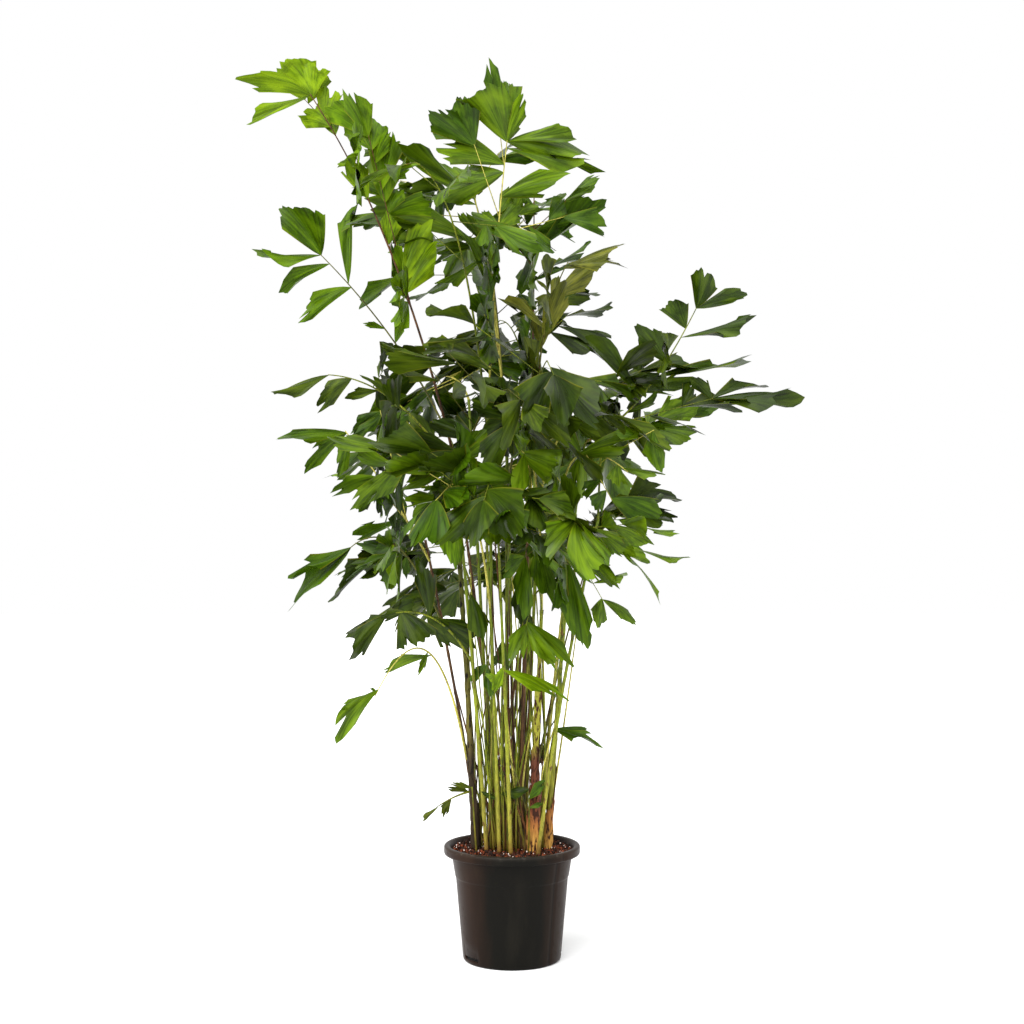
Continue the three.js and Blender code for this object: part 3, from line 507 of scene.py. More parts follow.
def grown_leaves(curve, side, count, size, draw):
    leaves = []
    for i in range(count + 1):
        last = i == count
        hand = 1 if i % 2 else -1
        share = 1 if last else lerp(*LEAFY_STRETCH, (i + 0.5) / count)
        swing = (LAST_SWING if last else SIDE_SWING) * hand + sway(SWING_SWAY, draw)
        length = size * lerp(*LENGTH_SHARES, draw())
        half_width = length * lerp(*HALF_WIDTH_SHARES, draw())
        along = curve.tangent(share) * math.cos(swing) + side * math.sin(swing)
        along = (along - UP * lerp(*SAGS, draw())).normalized()
        face = side.cross(along)
        if face.z < 0:
            face.negate()
        face += side * sway(FACE_SWAY, draw)
        face = (face - along * face.dot(along)).normalized()
        leaves.append(Leaflet(foot_on(curve, share), along, face.cross(along) * hand, length, half_width))
    return leaves


# %% [markdown]
# ## From rows of the tables to sprays
#
# A spray is a rib with its leaflets. The plain model has few and large leaflets, so here each frond also
# gets finer sprays between its own. On the fronds that face us they run towards us and away, with upright
# leaflets: seen from the side they fill the crown, and from the front they are slim.

# %% Sprays of the fronds that face us
SPRIG_DEPTH_SWAY = 0.6
SPRIG_LEAN = 0.3
DEPTH_STRETCH = (0.25, 0.8)
DEPTH_RISES = (-0.1, 0.5)
DEPTH_LENGTHS = (90, 170)
DEPTH_LEAVES = 4
DEPTH_LEAF_SIZE = 125
DEPTH_TURN = 0.2
DEPTH_SPRAYS = {
    2: "right_middle right_low hanging centre_front left_low left_arched",
    3: "top_left right centre_flag left_middle left_inner upper_left olive",
    4: "top thin_brown centre_dark",
}
spray_counts = {f"frond_{name}": count for count, names in DEPTH_SPRAYS.items() for name in names.split()}


def stalk_foot(row):
    return cane_curves[row["cane"]].point(row["from"])


def shown_frond(row, index):
    draw = draws_of(SHOWN_SEEDS, index)
    stalk = Bow(stalk_foot(row), seen(row["bend"]), seen(row["tip"]))
    sprays = [(None, [shown_leaf(stalk, told, draw) for told in row["leaflets"]])]
    for rib in row["ribs"]:
        curve = straight(stalk.point(rib["at"]), seen(rib["tip"]))
        sprays.append((curve, [shown_leaf(curve, told, draw) for told in rib["leaflets"]]))
    for at, angle, length, count, size in row["sprigs"]:
        turn = math.radians(angle)
        start = stalk.point(at)
        run = Vector((math.cos(turn), (draw() - 0.5) * SPRIG_DEPTH_SWAY, math.sin(turn))).normalized()
        curve = straight(start, start + run * length)
        side = Vector((-math.sin(turn), SPRIG_LEAN, math.cos(turn))).normalized()
        sprays.append((curve, grown_leaves(curve, side, count, size, draw)))
    fine = draws_of(DEPTH_SEEDS, index)
    count = spray_counts.get(row["name"], 0)
    for i in range(count):
        start = stalk.point(lerp(*DEPTH_STRETCH, (i + 0.5) / count))
        hand = 1 if i % 2 else -1
        run = Vector((sway(DEPTH_TURN, fine), hand, lerp(*DEPTH_RISES, fine()))).normalized()
        curve = straight(start, start + run * lerp(*DEPTH_LENGTHS, fine()))
        upright = (UP - run * UP.dot(run)).normalized()
        sprays.append((curve, grown_leaves(curve, upright, DEPTH_LEAVES, DEPTH_LEAF_SIZE, fine)))
    return row, stalk, sprays


# %% [markdown]
# The far side's fronds follow the plain model's rule draw by draw, so that their first ribs lie where its
# solids lie. The finer ribs between them come from a second row of draws, which leaves the first
# undisturbed. The fronds in front and at the top stay more open, because the sky shows between them.

# %% Sprays of the fronds by rule
FILL_BARE = 0.42
FILL_RIBS = 4
FILL_RIB_LEAVES = 2
ADDED_LEAVES = 3
ADDED_LEAF_SHARE = 0.72
FINE_RIBS = 3
OPEN_FINE_RIBS = 1
FINE_LEAVES = 4
FINE_LEAF_SHARE = 0.78
OPEN_RISE = 600
OPEN_FRONT = 0.8
RIB_DROOP = 0.1
LAST_RIB_DROOP = 0.5
LAST_RIB_SHARE = 0.5
RIB_TILT = 0.7
FILL_ROLL = 0.5
FILL_SWINGS = (0.95, 1.25)
FILL_RIB_SHARES = (1.06, 1.44)
FINE_SWINGS = (0.8, 1.2)
FINE_RIB_SHARES = (0.85, 1.15)
FINE_STRETCH = (0.38, 0.95)


def rib_on(stalk, at, swing, side, droop, length):
    start = stalk.point(at)
    along = stalk.tangent(at) * math.cos(swing) + side * math.sin(swing) - UP * droop
    return straight(start, start + along.normalized() * length)


def rib_side(curve, tilt):
    return (curve.tangent(0.5).cross(UP).normalized() + UP * tilt).normalized()


def fill_frond(row, index):
    draw = draws_of(FILL_SEEDS, index)
    fine = draws_of(FINE_SEEDS, index)
    foot = stalk_foot(row)
    turn = math.radians(row["turn"])
    out = Vector((math.cos(turn), math.sin(turn), 0))
    bend = foot + out * 0.3 * row["reach"] + UP * 0.95 * row["rise"]
    stalk = Bow(foot, bend, foot + out * row["reach"] + UP * row["rise"])
    is_open = out.y < -OPEN_FRONT or row["rise"] > OPEN_RISE
    level = Vector((-math.sin(turn), math.cos(turn), 0))
    roll = sway(FILL_ROLL, draw)
    side = level * math.cos(roll) + UP * math.sin(roll)
    size = row["size"]
    sprays = []
    for i in range(FILL_RIBS):
        last = i == FILL_RIBS - 1
        at = 1 if last else lerp(FILL_BARE, 1, (i + 0.3) / FILL_RIBS)
        swing = 0 if last else (1 if i % 2 else -1) * lerp(*FILL_SWINGS, draw())
        length = size * lerp(*FILL_RIB_SHARES, draw()) * (LAST_RIB_SHARE if last else 1)
        curve = rib_on(stalk, at, swing, side, LAST_RIB_DROOP if last else RIB_DROOP, length)
        across = rib_side(curve, sway(RIB_TILT, draw))
        leaves = grown_leaves(curve, across, FILL_RIB_LEAVES, size, draw)
        if not is_open:
            leaves += grown_leaves(curve, across, ADDED_LEAVES, size * ADDED_LEAF_SHARE, fine)[:-1]
        sprays.append((curve, leaves))
    fine_ribs = OPEN_FINE_RIBS if is_open else FINE_RIBS
    for i in range(fine_ribs):
        at = lerp(*FINE_STRETCH, (i + 0.6) / fine_ribs)
        swing = (-1 if i % 2 else 1) * lerp(*FINE_SWINGS, fine())
        curve = rib_on(stalk, at, swing, side, RIB_DROOP, size * lerp(*FINE_RIB_SHARES, fine()))
        across = rib_side(curve, sway(RIB_TILT, fine))
        sprays.append((curve, grown_leaves(curve, across, FINE_LEAVES, size * FINE_LEAF_SHARE, fine)))
    return row, stalk, sprays


fronds = [shown_frond(row, i) for i, row in enumerate(SHOWN_FRONDS)]
fronds += [fill_frond(row, i) for i, row in enumerate(FILL_FRONDS)]
print(len(fronds), "fronds with", sum(len(leaves) for f in fronds for _, leaves in f[2]), "leaflets")

# %% [markdown]
# Between the stems stand a few suckers with one or two small leaves, half of them low and half of them
# tall. They grow straight out of the mix, so a sucker is told by its spot in the pot, the bend and tip of
# its stem as we see them, its green, and its leaves.

# %% Suckers between the stems
SUCKERS = [
    (
        (-28, -52), (-34, 350, -66), (-30, 414, -60), "dark", (500, 792, 531, 789, 14),
        (499, 800, 480, 792, 6),
    ),
    ((40, -54), (44, 340, -80), (42, 400, -84), "mid", (529, 798, 546, 778, 12), (529, 808, 545, 804, 6)),
    ((-88, -40), (-96, 360, -50), (-100, 428, -60), "olive", (472, 788, 448, 780, 7)),
    (
        (-20, -56), (-26, 600, -70), (-22, 800, -80), "dark", (503, 638, 503, 674, 16),
        (500, 650, 491, 668, 8),
    ),
    (
        (10, -54), (10, 600, -80), (20, 950, -110), "dark", (520, 578, 519, 628, 18),
        (521, 600, 531, 640, 10),
    ),
    (
        (-44, -50), (-70, 600, -70), (-105, 915, -100), "dark", (470, 592, 481, 646, 22),
        (474, 606, 490, 628, 10),
    ),
    (
        (-34, -56), (-44, 520, -70), (-62, 740, -90), "mid", (487, 662, 492, 701, 12),
        (484, 664, 466, 684, 12),
    ),
    ((30, 80), (36, 380, 96), (50, 470, 110), "dark", (532, 770, 549, 741, 11), (531, 778, 519, 760, 7)),
]
SUNK = 4


def sucker(told, index):
    foot, bend, tip, colour, *leaflets = told
    draw = draws_of(SUCKER_SEEDS, index)
    stem = Bow(Vector((*foot, SOIL_TOP - SUNK)), seen(bend), seen(tip))
    return {"colour": colour}, stem, [(None, [shown_leaf(stem, leaf, draw) for leaf in leaflets])]


suckers = [sucker(told, i) for i, told in enumerate(SUCKERS)]
print(len(suckers), "suckers")

# %% [markdown]
# ## One leaflet's blade
#
# The blade is a narrow wedge that spreads from its foot and ends in a torn, slanting edge, with one corner
# drawn out like a fish's tail. Its veins fan out from the foot and pleat it like a folded fan. We could cut
# a flat shape and bend it, but a grid is simpler: its columns become the veins and its rows the way out
# along them. So the far row is torn by shortening some veins, and the pleats come from lifting or lowering
# each. A slow wave, a cupped section and a sideways sweep keep any two blades from looking alike.

# %% Blade of a leaflet
FAN_FROM = 0.62
LEAF_GRID = (13, 5)
WIDE_LEAF_GRID = (22, 7)
WIDE_FROM = 45
PLEAT = 0.008
LOBE = 0.15
NIBBLE = 0.05
SPLIT = 0.34
WAVE = 0.1
SWEEP = 0.16
DROPPED_TIP = 0.14
FOOT_SPREAD = 0.03


def end_of(leaf, draw):
    """The far edge from one side to the other, as shares of the length and of the half width."""
    if 2 * leaf.half_width > FAN_FROM * leaf.length:
        peak = lerp(-0.15, 0.4, draw())
        near, far = lerp(0.54, 0.76, draw()), lerp(0.76, 0.95, draw())
        left = (lerp(near, 1, 0.7), peak - 0.5)
        right = (lerp(far, 1, 0.4), peak + 0.35)
    else:
        near, far = lerp(0.4, 0.58, draw()), lerp(0.52, 0.74, draw())
        peak = lerp(0.05, 0.6, draw())
        left = (lerp(near, 1, 0.55), lerp(-1, peak, 0.42))
        right = (lerp(far, 1, 0.5), lerp(1, peak, 0.4))
    return [(near, -1), left, (1, peak), right, (far, 1)]


def edge_at(edge, ray):
    """A point of the far edge for a vein's place from 0 to 1."""
    width = lerp(-1, 1, ray)
    for (u0, v0), (u1, v1) in zip(edge, edge[1:]):
        if width <= v1:
            return lerp(u0, u1, (width - v0) / (v1 - v0)), width
    return edge[-1]


def torn_edge(columns, draw):
    """How much each vein falls short of the full outline: slanted lobes, small nibbles and a split or two."""
    few_columns = LEAF_GRID[0]
    lobes = lerp(2.5, 4.5, draw()) * columns / few_columns
    start, slant = draw(), draw() < 0.5
    depths = [LOBE * lerp(0.3, 1, draw()) for _ in range(int(lobes) + 3)]
    bites = []
    for column in range(columns + 1):
        place = start + lobes * column / columns
        short = 1 - place % 1 if slant else place % 1
        bites.append(depths[int(place)] * short**1.4 + NIBBLE * draw())
    for _ in range(columns // few_columns + 1):
        bites[2 + int(draw() * (columns - 3))] += SPLIT * draw() ** 2
    bites[0] = bites[-1] = 0
    return bites


def new_grid(work, columns, rows):
    """The points of a new grid, each with its shares across and along."""
    made = bmesh.ops.create_grid(work, x_segments=columns, y_segments=rows, size=0.5, calc_uvs=True)
    return [(vert, vert.co.x + 0.5, vert.co.y + 0.5) for vert in made["verts"]]


def add_blade(work, leaf, draw):
    foot, along, across, length, half_width = leaf
    face = along.cross(across)
    columns, rows = WIDE_LEAF_GRID if half_width > WIDE_FROM else LEAF_GRID
    edge = end_of(leaf, draw)
    bites = torn_edge(columns, draw)
    folds = [PLEAT * sway(1, draw) for _ in range(columns + 1)]
    phase = math.tau * draw()
    waves = lerp(0.5, 1.3, draw())
    sweep = sway(SWEEP, draw)
    cup = lerp(0.05, 0.42, draw())
    curl = DROPPED_TIP * lerp(-0.8, 1.6, draw())
    for vert, ray, share in new_grid(work, columns, rows):
        column = round(ray * columns)
        u_edge, v_edge = edge_at(edge, ray)
        u = share * length * u_edge * (1 - bites[column] * share**4)
        spread = FOOT_SPREAD + (1 - FOOT_SPREAD) * share**0.8
        v = v_edge * half_width * spread + sweep * u * (u / length - 0.8)
        lift = folds[column] * u * min(1, 2 * share)
        lift += WAVE * length * share * share * math.sin(math.tau * waves * ray + phase)
        lift -= cup * half_width * v_edge * v_edge * spread + curl * u * ((u / length) ** 2 - 0.8)
        vert.co = foot + along * u + across * v + face * lift - UP * DROOP * u * u / length


# %% [markdown]
# ## Stalks, ribs and stems
#
# Every limb is a tube along a bow. A curve object with a bevel would do, but a grid that is rolled up gives
# us the same tube with a mesh that we control: one side of the grid runs round the tube and the other along
# it. The first and last rows shrink to a point, so the tube is closed.

# %% Tubes
UPRIGHT_FROM = 0.8
MERGE_DISTANCE = 0.01


def add_tube(work, curve, radius_at, sides, steps):
    rows = steps + 2
    grid = new_grid(work, sides, rows)
    chord = curve.end - curve.start
    side = chord.cross(TO_FRONT if abs(chord.z) > UPRIGHT_FROM * chord.length else UP)
    for vert, round_share, up_share in grid:
        turn = round_share * math.tau
        row = round(up_share * rows)
        share = min(max(row - 1, 0), steps) / steps
        tangent = curve.tangent(share)
        across = (side - tangent * side.dot(tangent)).normalized()
        out = across * math.cos(turn) + across.cross(tangent) * math.sin(turn)
        radius = 0 if row in (0, rows) else radius_at(share, turn)
        vert.co = curve.point(share) + out * radius
    bmesh.ops.remove_doubles(work, verts=[vert for vert, _, _ in grid], dist=MERGE_DISTANCE)


def tapering(foot_radius, tip_radius):
    return lambda share, turn: lerp(foot_radius, tip_radius, share)


def new_work():
    work = bmesh.new()
    work.loops.layers.uv.new("UVMap")
    return work


def add_object(work, name, material):
    """Turns the work into a mesh object of the scene."""
    mesh = bpy.data.meshes.new(name)
    work.to_mesh(mesh)
    work.free()
    mesh.materials.append(material)
    made = bpy.data.objects.new(name, mesh)
    bpy.context.scene.collection.objects.link(made)
    return made


def finish_piece(work, name, material, closed=True):
    """Shrinks the work to metres and makes it a smooth-shaded piece that rides on the plant."""
    if closed:
        bmesh.ops.recalc_face_normals(work, faces=work.faces)
    bmesh.ops.scale(work, vec=(MM, MM, MM), verts=work.verts)
    for face in work.faces:
        face.smooth = True
    piece = add_object(work, name, material)
    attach(piece, "root")
    print(name, len(piece.data.polygons), "faces")
    return piece


# %% [markdown]
# ## Materials as sums
#
# A finish is mostly arithmetic: this much dirt, that much sheen. So a small class lets a node's output be
# added, multiplied and subtracted like a number, and each such step adds the Math node for it.

# %% Shader tools
CLEAR, FULL = (0, 0, 0, 1), (1, 1, 1, 1)


def linear(red, green, blue):
    """A colour as a screen shows it, 0 to 255, turned into the light that a shader works with."""
    shares = [value / 255 for value in (red, green, blue)]
    return [s / 12.92 if s <= 0.04045 else ((s + 0.055) / 1.055) ** 2.4 for s in shares] + [1]


class Flow:
    """A value on its way through the nodes."""

    def __init__(self, finish, socket):
        self.finish, self.socket = finish, socket

    def math(self, operation, other):
        return self.finish.node("ShaderNodeMath", {"operation": operation}, {0: self, 1: other})

    def __add__(self, other):
        return self.math("ADD", other)

    def __mul__(self, other):
        return self.math("MULTIPLY", other)

    def __sub__(self, other):
        return self.math("SUBTRACT", other)

    def __abs__(self):
        return self.math("ABSOLUTE", 0)


class Finish:
    """A material with one Principled surface. Plain values go straight on that surface's sockets."""

    def __init__(self, name, **surface):
        self.material = bpy.data.materials.new(name)
        self.material.use_nodes = True
        self.tree = self.material.node_tree
        self.surface = self.tree.nodes["Principled BSDF"]
        for socket, value in surface.items():
            self.surface.inputs[socket.replace("_", " ")].default_value = value

    def node(self, kind, settings, sockets, output=0):
        node = self.tree.nodes.new(kind)
        for name, value in settings.items():
            setattr(node, name, value)
        for name, value in sockets.items():
            self.feed(node.inputs[name], value)
        return Flow(self, node.outputs[output])

    def feed(self, socket, value):
        if isinstance(value, Flow):
            self.tree.links.new(value.socket, socket)
        else:
            socket.default_value = value

    def mix(self, share, first, second):
        return self.node("ShaderNodeMix", {"data_type": "RGBA"}, {0: share, 6: first, 7: second}, 2)

    def place(self, *scale, kind="Object"):
        """Object or UV coordinates, stretched by a scale along each axis."""
        where = self.node("ShaderNodeTexCoord", {}, {}, {"UV": 2, "Object": 3}[kind])
        return self.node("ShaderNodeMapping", {}, {"Vector": where, "Scale": scale or (1, 1, 1)})

    def axis(self, number, kind="Object"):
        """The coordinate along one axis: 0 for X, 1 for Y, 2 for Z."""
        return self.node("ShaderNodeSeparateXYZ", {}, {0: self.place(kind=kind)}, number)

    def noise(self, where, scale, detail):
        return self.node("ShaderNodeTexNoise", {}, {"Vector": where, "Scale": scale, "Detail": detail})

    def vector(self, operation, first, second, output=0):
        return self.node("ShaderNodeVectorMath", {"operation": operation}, {0: first, 1: second}, output)

    def ramp(self, value, *stops):
        ramp = self.node("ShaderNodeValToRGB", {}, {0: value})
        elements = ramp.socket.node.color_ramp.elements
        while len(elements) < len(stops):
            elements.new(1)
        for element, (place, colour) in zip(elements, stops):
            element.position, element.color = place, colour
        return ramp

    def rise(self, value, low, high):
        """Grows from nothing at the low value to all at the high one."""
        return self.ramp(value, (low, CLEAR), (high, FULL))

    def fall(self, value, low, high):
        return self.ramp(value, (low, FULL), (high, CLEAR))

    def bump(self, height, strength, distance):
        sockets = {"Height": height, "Strength": strength, "Distance": distance}
        self.feed(self.surface.inputs["Normal"], self.node("ShaderNodeBump", {}, sockets))

    def colour(self, value):
        self.feed(self.surface.inputs["Base Color"], value)

    def roughness(self, value):
        self.feed(self.surface.inputs["Roughness"], value)


# %% [markdown]
# ## Leaf finish
#
# A palm leaf is a waxy sheet: green with fine lighter and darker streaks along its fanning veins, a soft
# patchy sheen, a thin yellowed rim, and dry brown nicks at the torn edge. Light and shade are also painted
# into its colour: the darker streaks and the shaded spots mix in a dim copy of the green as painted shade,
# and wide and patchy light spots mix in a bright copy as painted sunlight. Each spray gets one of three
# shades of its frond's green. The streaks use the blade's own map, in which one direction runs across the
# veins and the other along them. That map is the same on every blade, so the place in space is added to it,
# and no two look alike.

# %% Leaf materials
GREENS = {
    "bright": [(76, 107, 3), (67, 97, 2), (92, 121, 6)],
    "mid": [(61, 89, 4), (73, 100, 6), (50, 77, 3)],
    "dark": [(46, 66, 4), (57, 75, 6), (38, 55, 3)],
    "olive": [(68, 80, 18), (60, 71, 14), (82, 88, 26)],
}
GLOSS = {"bright": 0.08, "mid": 0.12, "dark": 0.13, "olive": 0.12}
RIM_YELLOW = (120, 116, 24)
DRY_BROWN = (92, 64, 22)


def leaf_finish(name, told, gloss):
    finish = Finish(name, Roughness=0.4, Specular_IOR_Level=gloss)
    base = linear(*told)
    # Painted shade and painted sunlight: a dim and a bright copy of the green.
    shade = [value * 0.36 for value in base[:3]] + [1]
    painted_sunlit = [base[0] * 2 + 0.012, base[1] * 1.75 + 0.012, base[2] * 1.5 + 0.002, 1]
    here = finish.place(7, 7, 7)

    def veined(across, along, detail):
        stretched = finish.place(across, along, 1, kind="UV")
        return finish.noise(finish.vector("ADD", stretched, here), 1, detail)

    streaks, broad_relief_and_painted_light = veined(24, 1.2, 3), veined(6, 0.8, 2)
    gloss_and_painted_light_patches, nicks = veined(2.4, 2, 3), veined(8, 2, 2)
    # The darker streaks and shaded spots are painted shade, and the wide and patchy light spots are painted
    # sunlight.
    green = finish.mix(finish.rise(streaks, 0.34, 0.6), shade, base)
    green = finish.mix(finish.rise(broad_relief_and_painted_light, 0.48, 0.68) * 0.55, green, painted_sunlit)
    green = finish.mix(finish.rise(gloss_and_painted_light_patches, 0.52, 0.7) * 0.6, green, painted_sunlit)
    green = finish.mix(finish.fall(gloss_and_painted_light_patches, 0.34, 0.46) * 0.75, green, shade)
    rim = finish.rise(abs(finish.axis(0, "UV") - 0.5), 0.475, 0.495)
    rimmed = finish.mix(rim * 0.45, green, linear(*RIM_YELLOW))
    dry = finish.rise(finish.axis(1, "UV") + nicks * 0.24, 1.07, 1.12)
    finish.colour(finish.mix(dry * 0.75, rimmed, linear(*DRY_BROWN)))
    finish.roughness(gloss_and_painted_light_patches * 0.4 + 0.14)
    finish.bump(streaks * 0.5 + broad_relief_and_painted_light + gloss_and_painted_light_patches * 2, 0.4, 0.0025)
    return finish.material


leaf_materials = {
    (colour, i): leaf_finish(f"leaf_{colour}_{i + 1}", green, GLOSS[colour])
    for colour, greens in GREENS.items()
    for i, green in enumerate(greens)
}
print(len(leaf_materials), "shades of leaf")

# %% [markdown]
# ## Leaves, joined by shade
#
# Hundreds of leaflets as single objects would be slow to handle, so each shade becomes one piece. We deal
# the shades by spray, because on the plant the leaflets of one rib are of one age and so of one green.

# %% Leaves
SHADES = 3
FAVOURITE_SHARE = 0.6
SHADE_SEED = 311
LEAF_SEED = 421
shade_draw = draws_from(SHADE_SEED)
leaf_draw = draws_from(LEAF_SEED)
leaf_work = {key: new_work() for key in leaf_materials}
for row, _, sprays in fronds + suckers:
    favourite = int(shade_draw() * SHADES)
    for _, leaves in sprays:
        shade = favourite if shade_draw() < FAVOURITE_SHARE else int(shade_draw() * SHADES)
        for leaf in leaves:
            add_blade(leaf_work[row["colour"], shade], leaf, leaf_draw)
for (colour, i), work in leaf_work.items():
    material = leaf_materials[colour, i]
    finish_piece(work, f"leaves_{colour}_{i + 1}", material, closed=False)

# %% [markdown]
# ## Bark finishes
#
# The limbs are streaked along their length: young stems are yellow-green with paler lines and brown flecks,
# old ones wear a coat of brown fibres. Noise that is stretched along Z gives such streaks. A limb's own map
# would follow its bends, but the bends are slight, so the plain object coordinates do. The stops below are
# colours at heights above the ground in metres.

# %% Bark materials
SHEATH_STOPS = (
    (0.3, linear(196, 148, 70)), (0.35, linear(170, 112, 54)), (0.39, linear(112, 60, 38)),
    (0.5, linear(92, 54, 38)), (0.56, linear(146, 142, 46)), (0.8, linear(140, 148, 50)),
)
FIBRE_STOPS = (
    (0.3, linear(58, 44, 30)), (0.5, linear(66, 54, 34)),
    (0.6, linear(104, 96, 42)), (0.9, linear(92, 96, 36)),
)
GREEN_STOPS = (
    (0.28, linear(140, 104, 48)), (0.33, linear(150, 142, 50)),
    (0.6, linear(134, 142, 34)), (1.1, linear(108, 126, 30)),
)
HUSK_HEIGHTS = (0.29, 0.45)
HUSK_BROWN = (104, 62, 30)


def bark_finish(name, light, dark, fleck, flecks, coarse=1.0, roughness=0.6, stops=None, husk=False):
    finish = Finish(name, Roughness=roughness, Specular_IOR_Level=0.2)
    streaks = finish.noise(finish.place(1, 1, 0.06), 420 * coarse, 3)
    clouds = finish.noise(finish.place(1, 1, 0.35), 34, 3)
    tone = finish.rise(streaks * 0.6 + clouds * 0.4, 0.4, 0.58)
    streaked = finish.mix(tone, linear(*dark), linear(*light))
    if stops:
        aged = finish.ramp(finish.axis(2) + clouds * 0.12 - 0.06, *stops)
        streaked = finish.mix(tone * 0.6 + 0.4, linear(*dark), aged)
    if husk:
        low = finish.fall(finish.axis(2) + clouds * 0.2 - 0.1, *HUSK_HEIGHTS)
        streaked = finish.mix(low * tone * 0.8, streaked, linear(*HUSK_BROWN))
    spots = finish.noise(finish.place(1, 1, 0.3), 130, 3)
    marks = finish.rise(spots, 0.66 - flecks, 0.72 - flecks)
    finish.colour(finish.mix(marks, streaked, linear(*fleck)))
    finish.bump(streaks + spots * 0.5, 0.5, 0.0015)
    return finish.material


def stalk_finish(name, light, dark, fleck, flecks):
    return bark_finish(name, light, dark, fleck, flecks, coarse=1.4, husk=True)


CANE_BARKS = {
    "green": bark_finish(
        "young_bark", (146, 146, 40), (38, 45, 10), (84, 58, 28), 0.04, 1.4, stops=GREEN_STOPS
    ),
    "brown": bark_finish("brown_bark", (104, 74, 44), (56, 38, 24), (38, 27, 18), 0.08),
    "bark": bark_finish(
        "fibrous_bark", (74, 62, 46), (30, 25, 17), (20, 15, 12), 0.08, 0.9, 0.85, FIBRE_STOPS
    ),
    "sheath": bark_finish(
        "sheathed_bark", (196, 138, 66), (72, 34, 16), (50, 24, 12), 0.15, 0.8, 0.75, SHEATH_STOPS
    ),
}
STALK_BARKS = {
    "green": stalk_finish("green_stalk", (124, 132, 26), (46, 60, 11), (88, 62, 26), 0.03),
    "pale": stalk_finish("pale_stalk", (200, 190, 92), (120, 120, 36), (110, 82, 40), 0.02),
    "brown": stalk_finish("brown_stalk", (98, 64, 34), (44, 28, 17), (36, 24, 15), 0.06),
    "olive": stalk_finish("olive_stalk", (98, 98, 34), (50, 54, 18), (64, 46, 24), 0.05),
}

# %% [markdown]
# ## Canes
#
# A cane is a stack of joints. At each joint the scar of a fallen leaf leaves a thin raised ring, and the
# sheaths that are left there wrap the stem in fibres. So the tube's radius is no plain taper: it gets a
# ring at each joint, a slight waist between, and shallow ridges round it that wander as they climb.

# %% Canes as tubes
CANE_SIDES = 18
CANE_STEPS = 90
JOINT_LENGTH = 95
RING_REACH = 5
RIDGES_ROUND = 2.2
RIDGES_UP = 0.8
RIDGES_APART = 7
CANE_LOOKS = {
    "green": {"ring": 0.16, "ridge": 0.04, "waist": 0.06, "taper": 0.8},
    "brown": {"ring": 0.16, "ridge": 0.08, "waist": 0.06, "taper": 0.8},
    "bark": {"ring": 0.12, "ridge": 0.2, "waist": 0.04, "taper": 0.4},
    "sheath": {"ring": 0.1, "ridge": 0.13, "waist": 0.05, "taper": 0.45},
}


def cane_radius(cane, curve, seed):
    look = CANE_LOOKS[cane["colour"]]
    joints = round(curve.length / JOINT_LENGTH)

    def radius_at(share, turn):
        place = share * joints
        from_joint = abs(place - round(place)) * JOINT_LENGTH
        ring = look["ring"] * math.exp(-((from_joint / RING_REACH) ** 2))
        waist = look["waist"] * math.sin(math.pi * (place % 1))
        x, y = math.cos(turn) * RIDGES_ROUND, math.sin(turn) * RIDGES_ROUND
        ridge = look["ridge"] * noise.noise(Vector((x, y, place * RIDGES_UP + seed * RIDGES_APART)))
        return lerp(*cane["radii"], share ** look["taper"]) * (1 + ring - waist + ridge)

    return radius_at


for i, (cane, curve) in enumerate(zip(CANES, cane_curves)):
    work = new_work()
    add_tube(work, curve, cane_radius(cane, curve, i), CANE_SIDES, CANE_STEPS)
    colour = cane["colour"]
    piece = finish_piece(work, f"{cane['name']}_stem", CANE_BARKS[colour])
    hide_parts(cane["name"])

# %% [markdown]
# ## Sheaths
#
# Where a leaf was cut or fell, its base stays behind as a split sheath: a curved shield that hugs the stem
# and ends in a torn point. Each is a small grid that is bent round the cane and narrowed to its tip, and
# that leans away from the cane towards the top. A row tells where it sits on the cane, which way it faces
# in degrees, how tall it is, and how many times wider than the cane.

# %% Sheaths on the canes
SHEATH_GRID = (8, 14)
SHEATH_WRAP = 2.3
SHEATH_LEAN = 0.35
SHEATHS = [
    ("cane_sheathed", "sheath", [
        (0, 255, 130, 1.3), (0.02, 330, 150, 1.24), (0.06, 180, 160, 1.22), (0.1, 290, 160, 1.2),
        (0.2, 230, 150, 1.2), (0.32, 60, 180, 1.2), (0.5, 250, 150, 1.2),
    ]),
    ("cane_dark_left", "bark", [
        (0.01, 300, 120, 1.25), (0.07, 240, 120, 1.2), (0.14, 130, 130, 1.2), (0.22, 270, 140, 1.2),
        (0.4, 20, 120, 1.2),
    ]),
    ("cane_right", "sheath", [(0, 250, 100, 1.35), (0.05, 320, 90, 1.25), (0.13, 60, 120, 1.2)]),
    ("cane_brown", "brown", [(0.02, 280, 110, 1.3), (0.12, 250, 90, 1.25), (0.2, 90, 120, 1.2)]),
    ("cane_left_outer", "brown", [(0.03, 200, 100, 1.3), (0.1, 280, 90, 1.25)]),
    ("cane_middle", "brown", [(0.02, 240, 90, 1.3), (0.09, 300, 90, 1.25)]),
    ("cane_back_left", "brown", [(0.05, 90, 130, 1.3), (0.22, 200, 130, 1.2)]),
    ("cane_far_back", "brown", [(0.02, 60, 120, 1.3)]),
    ("cane_back_right", "brown", [(0.04, 30, 110, 1.3)]),
]


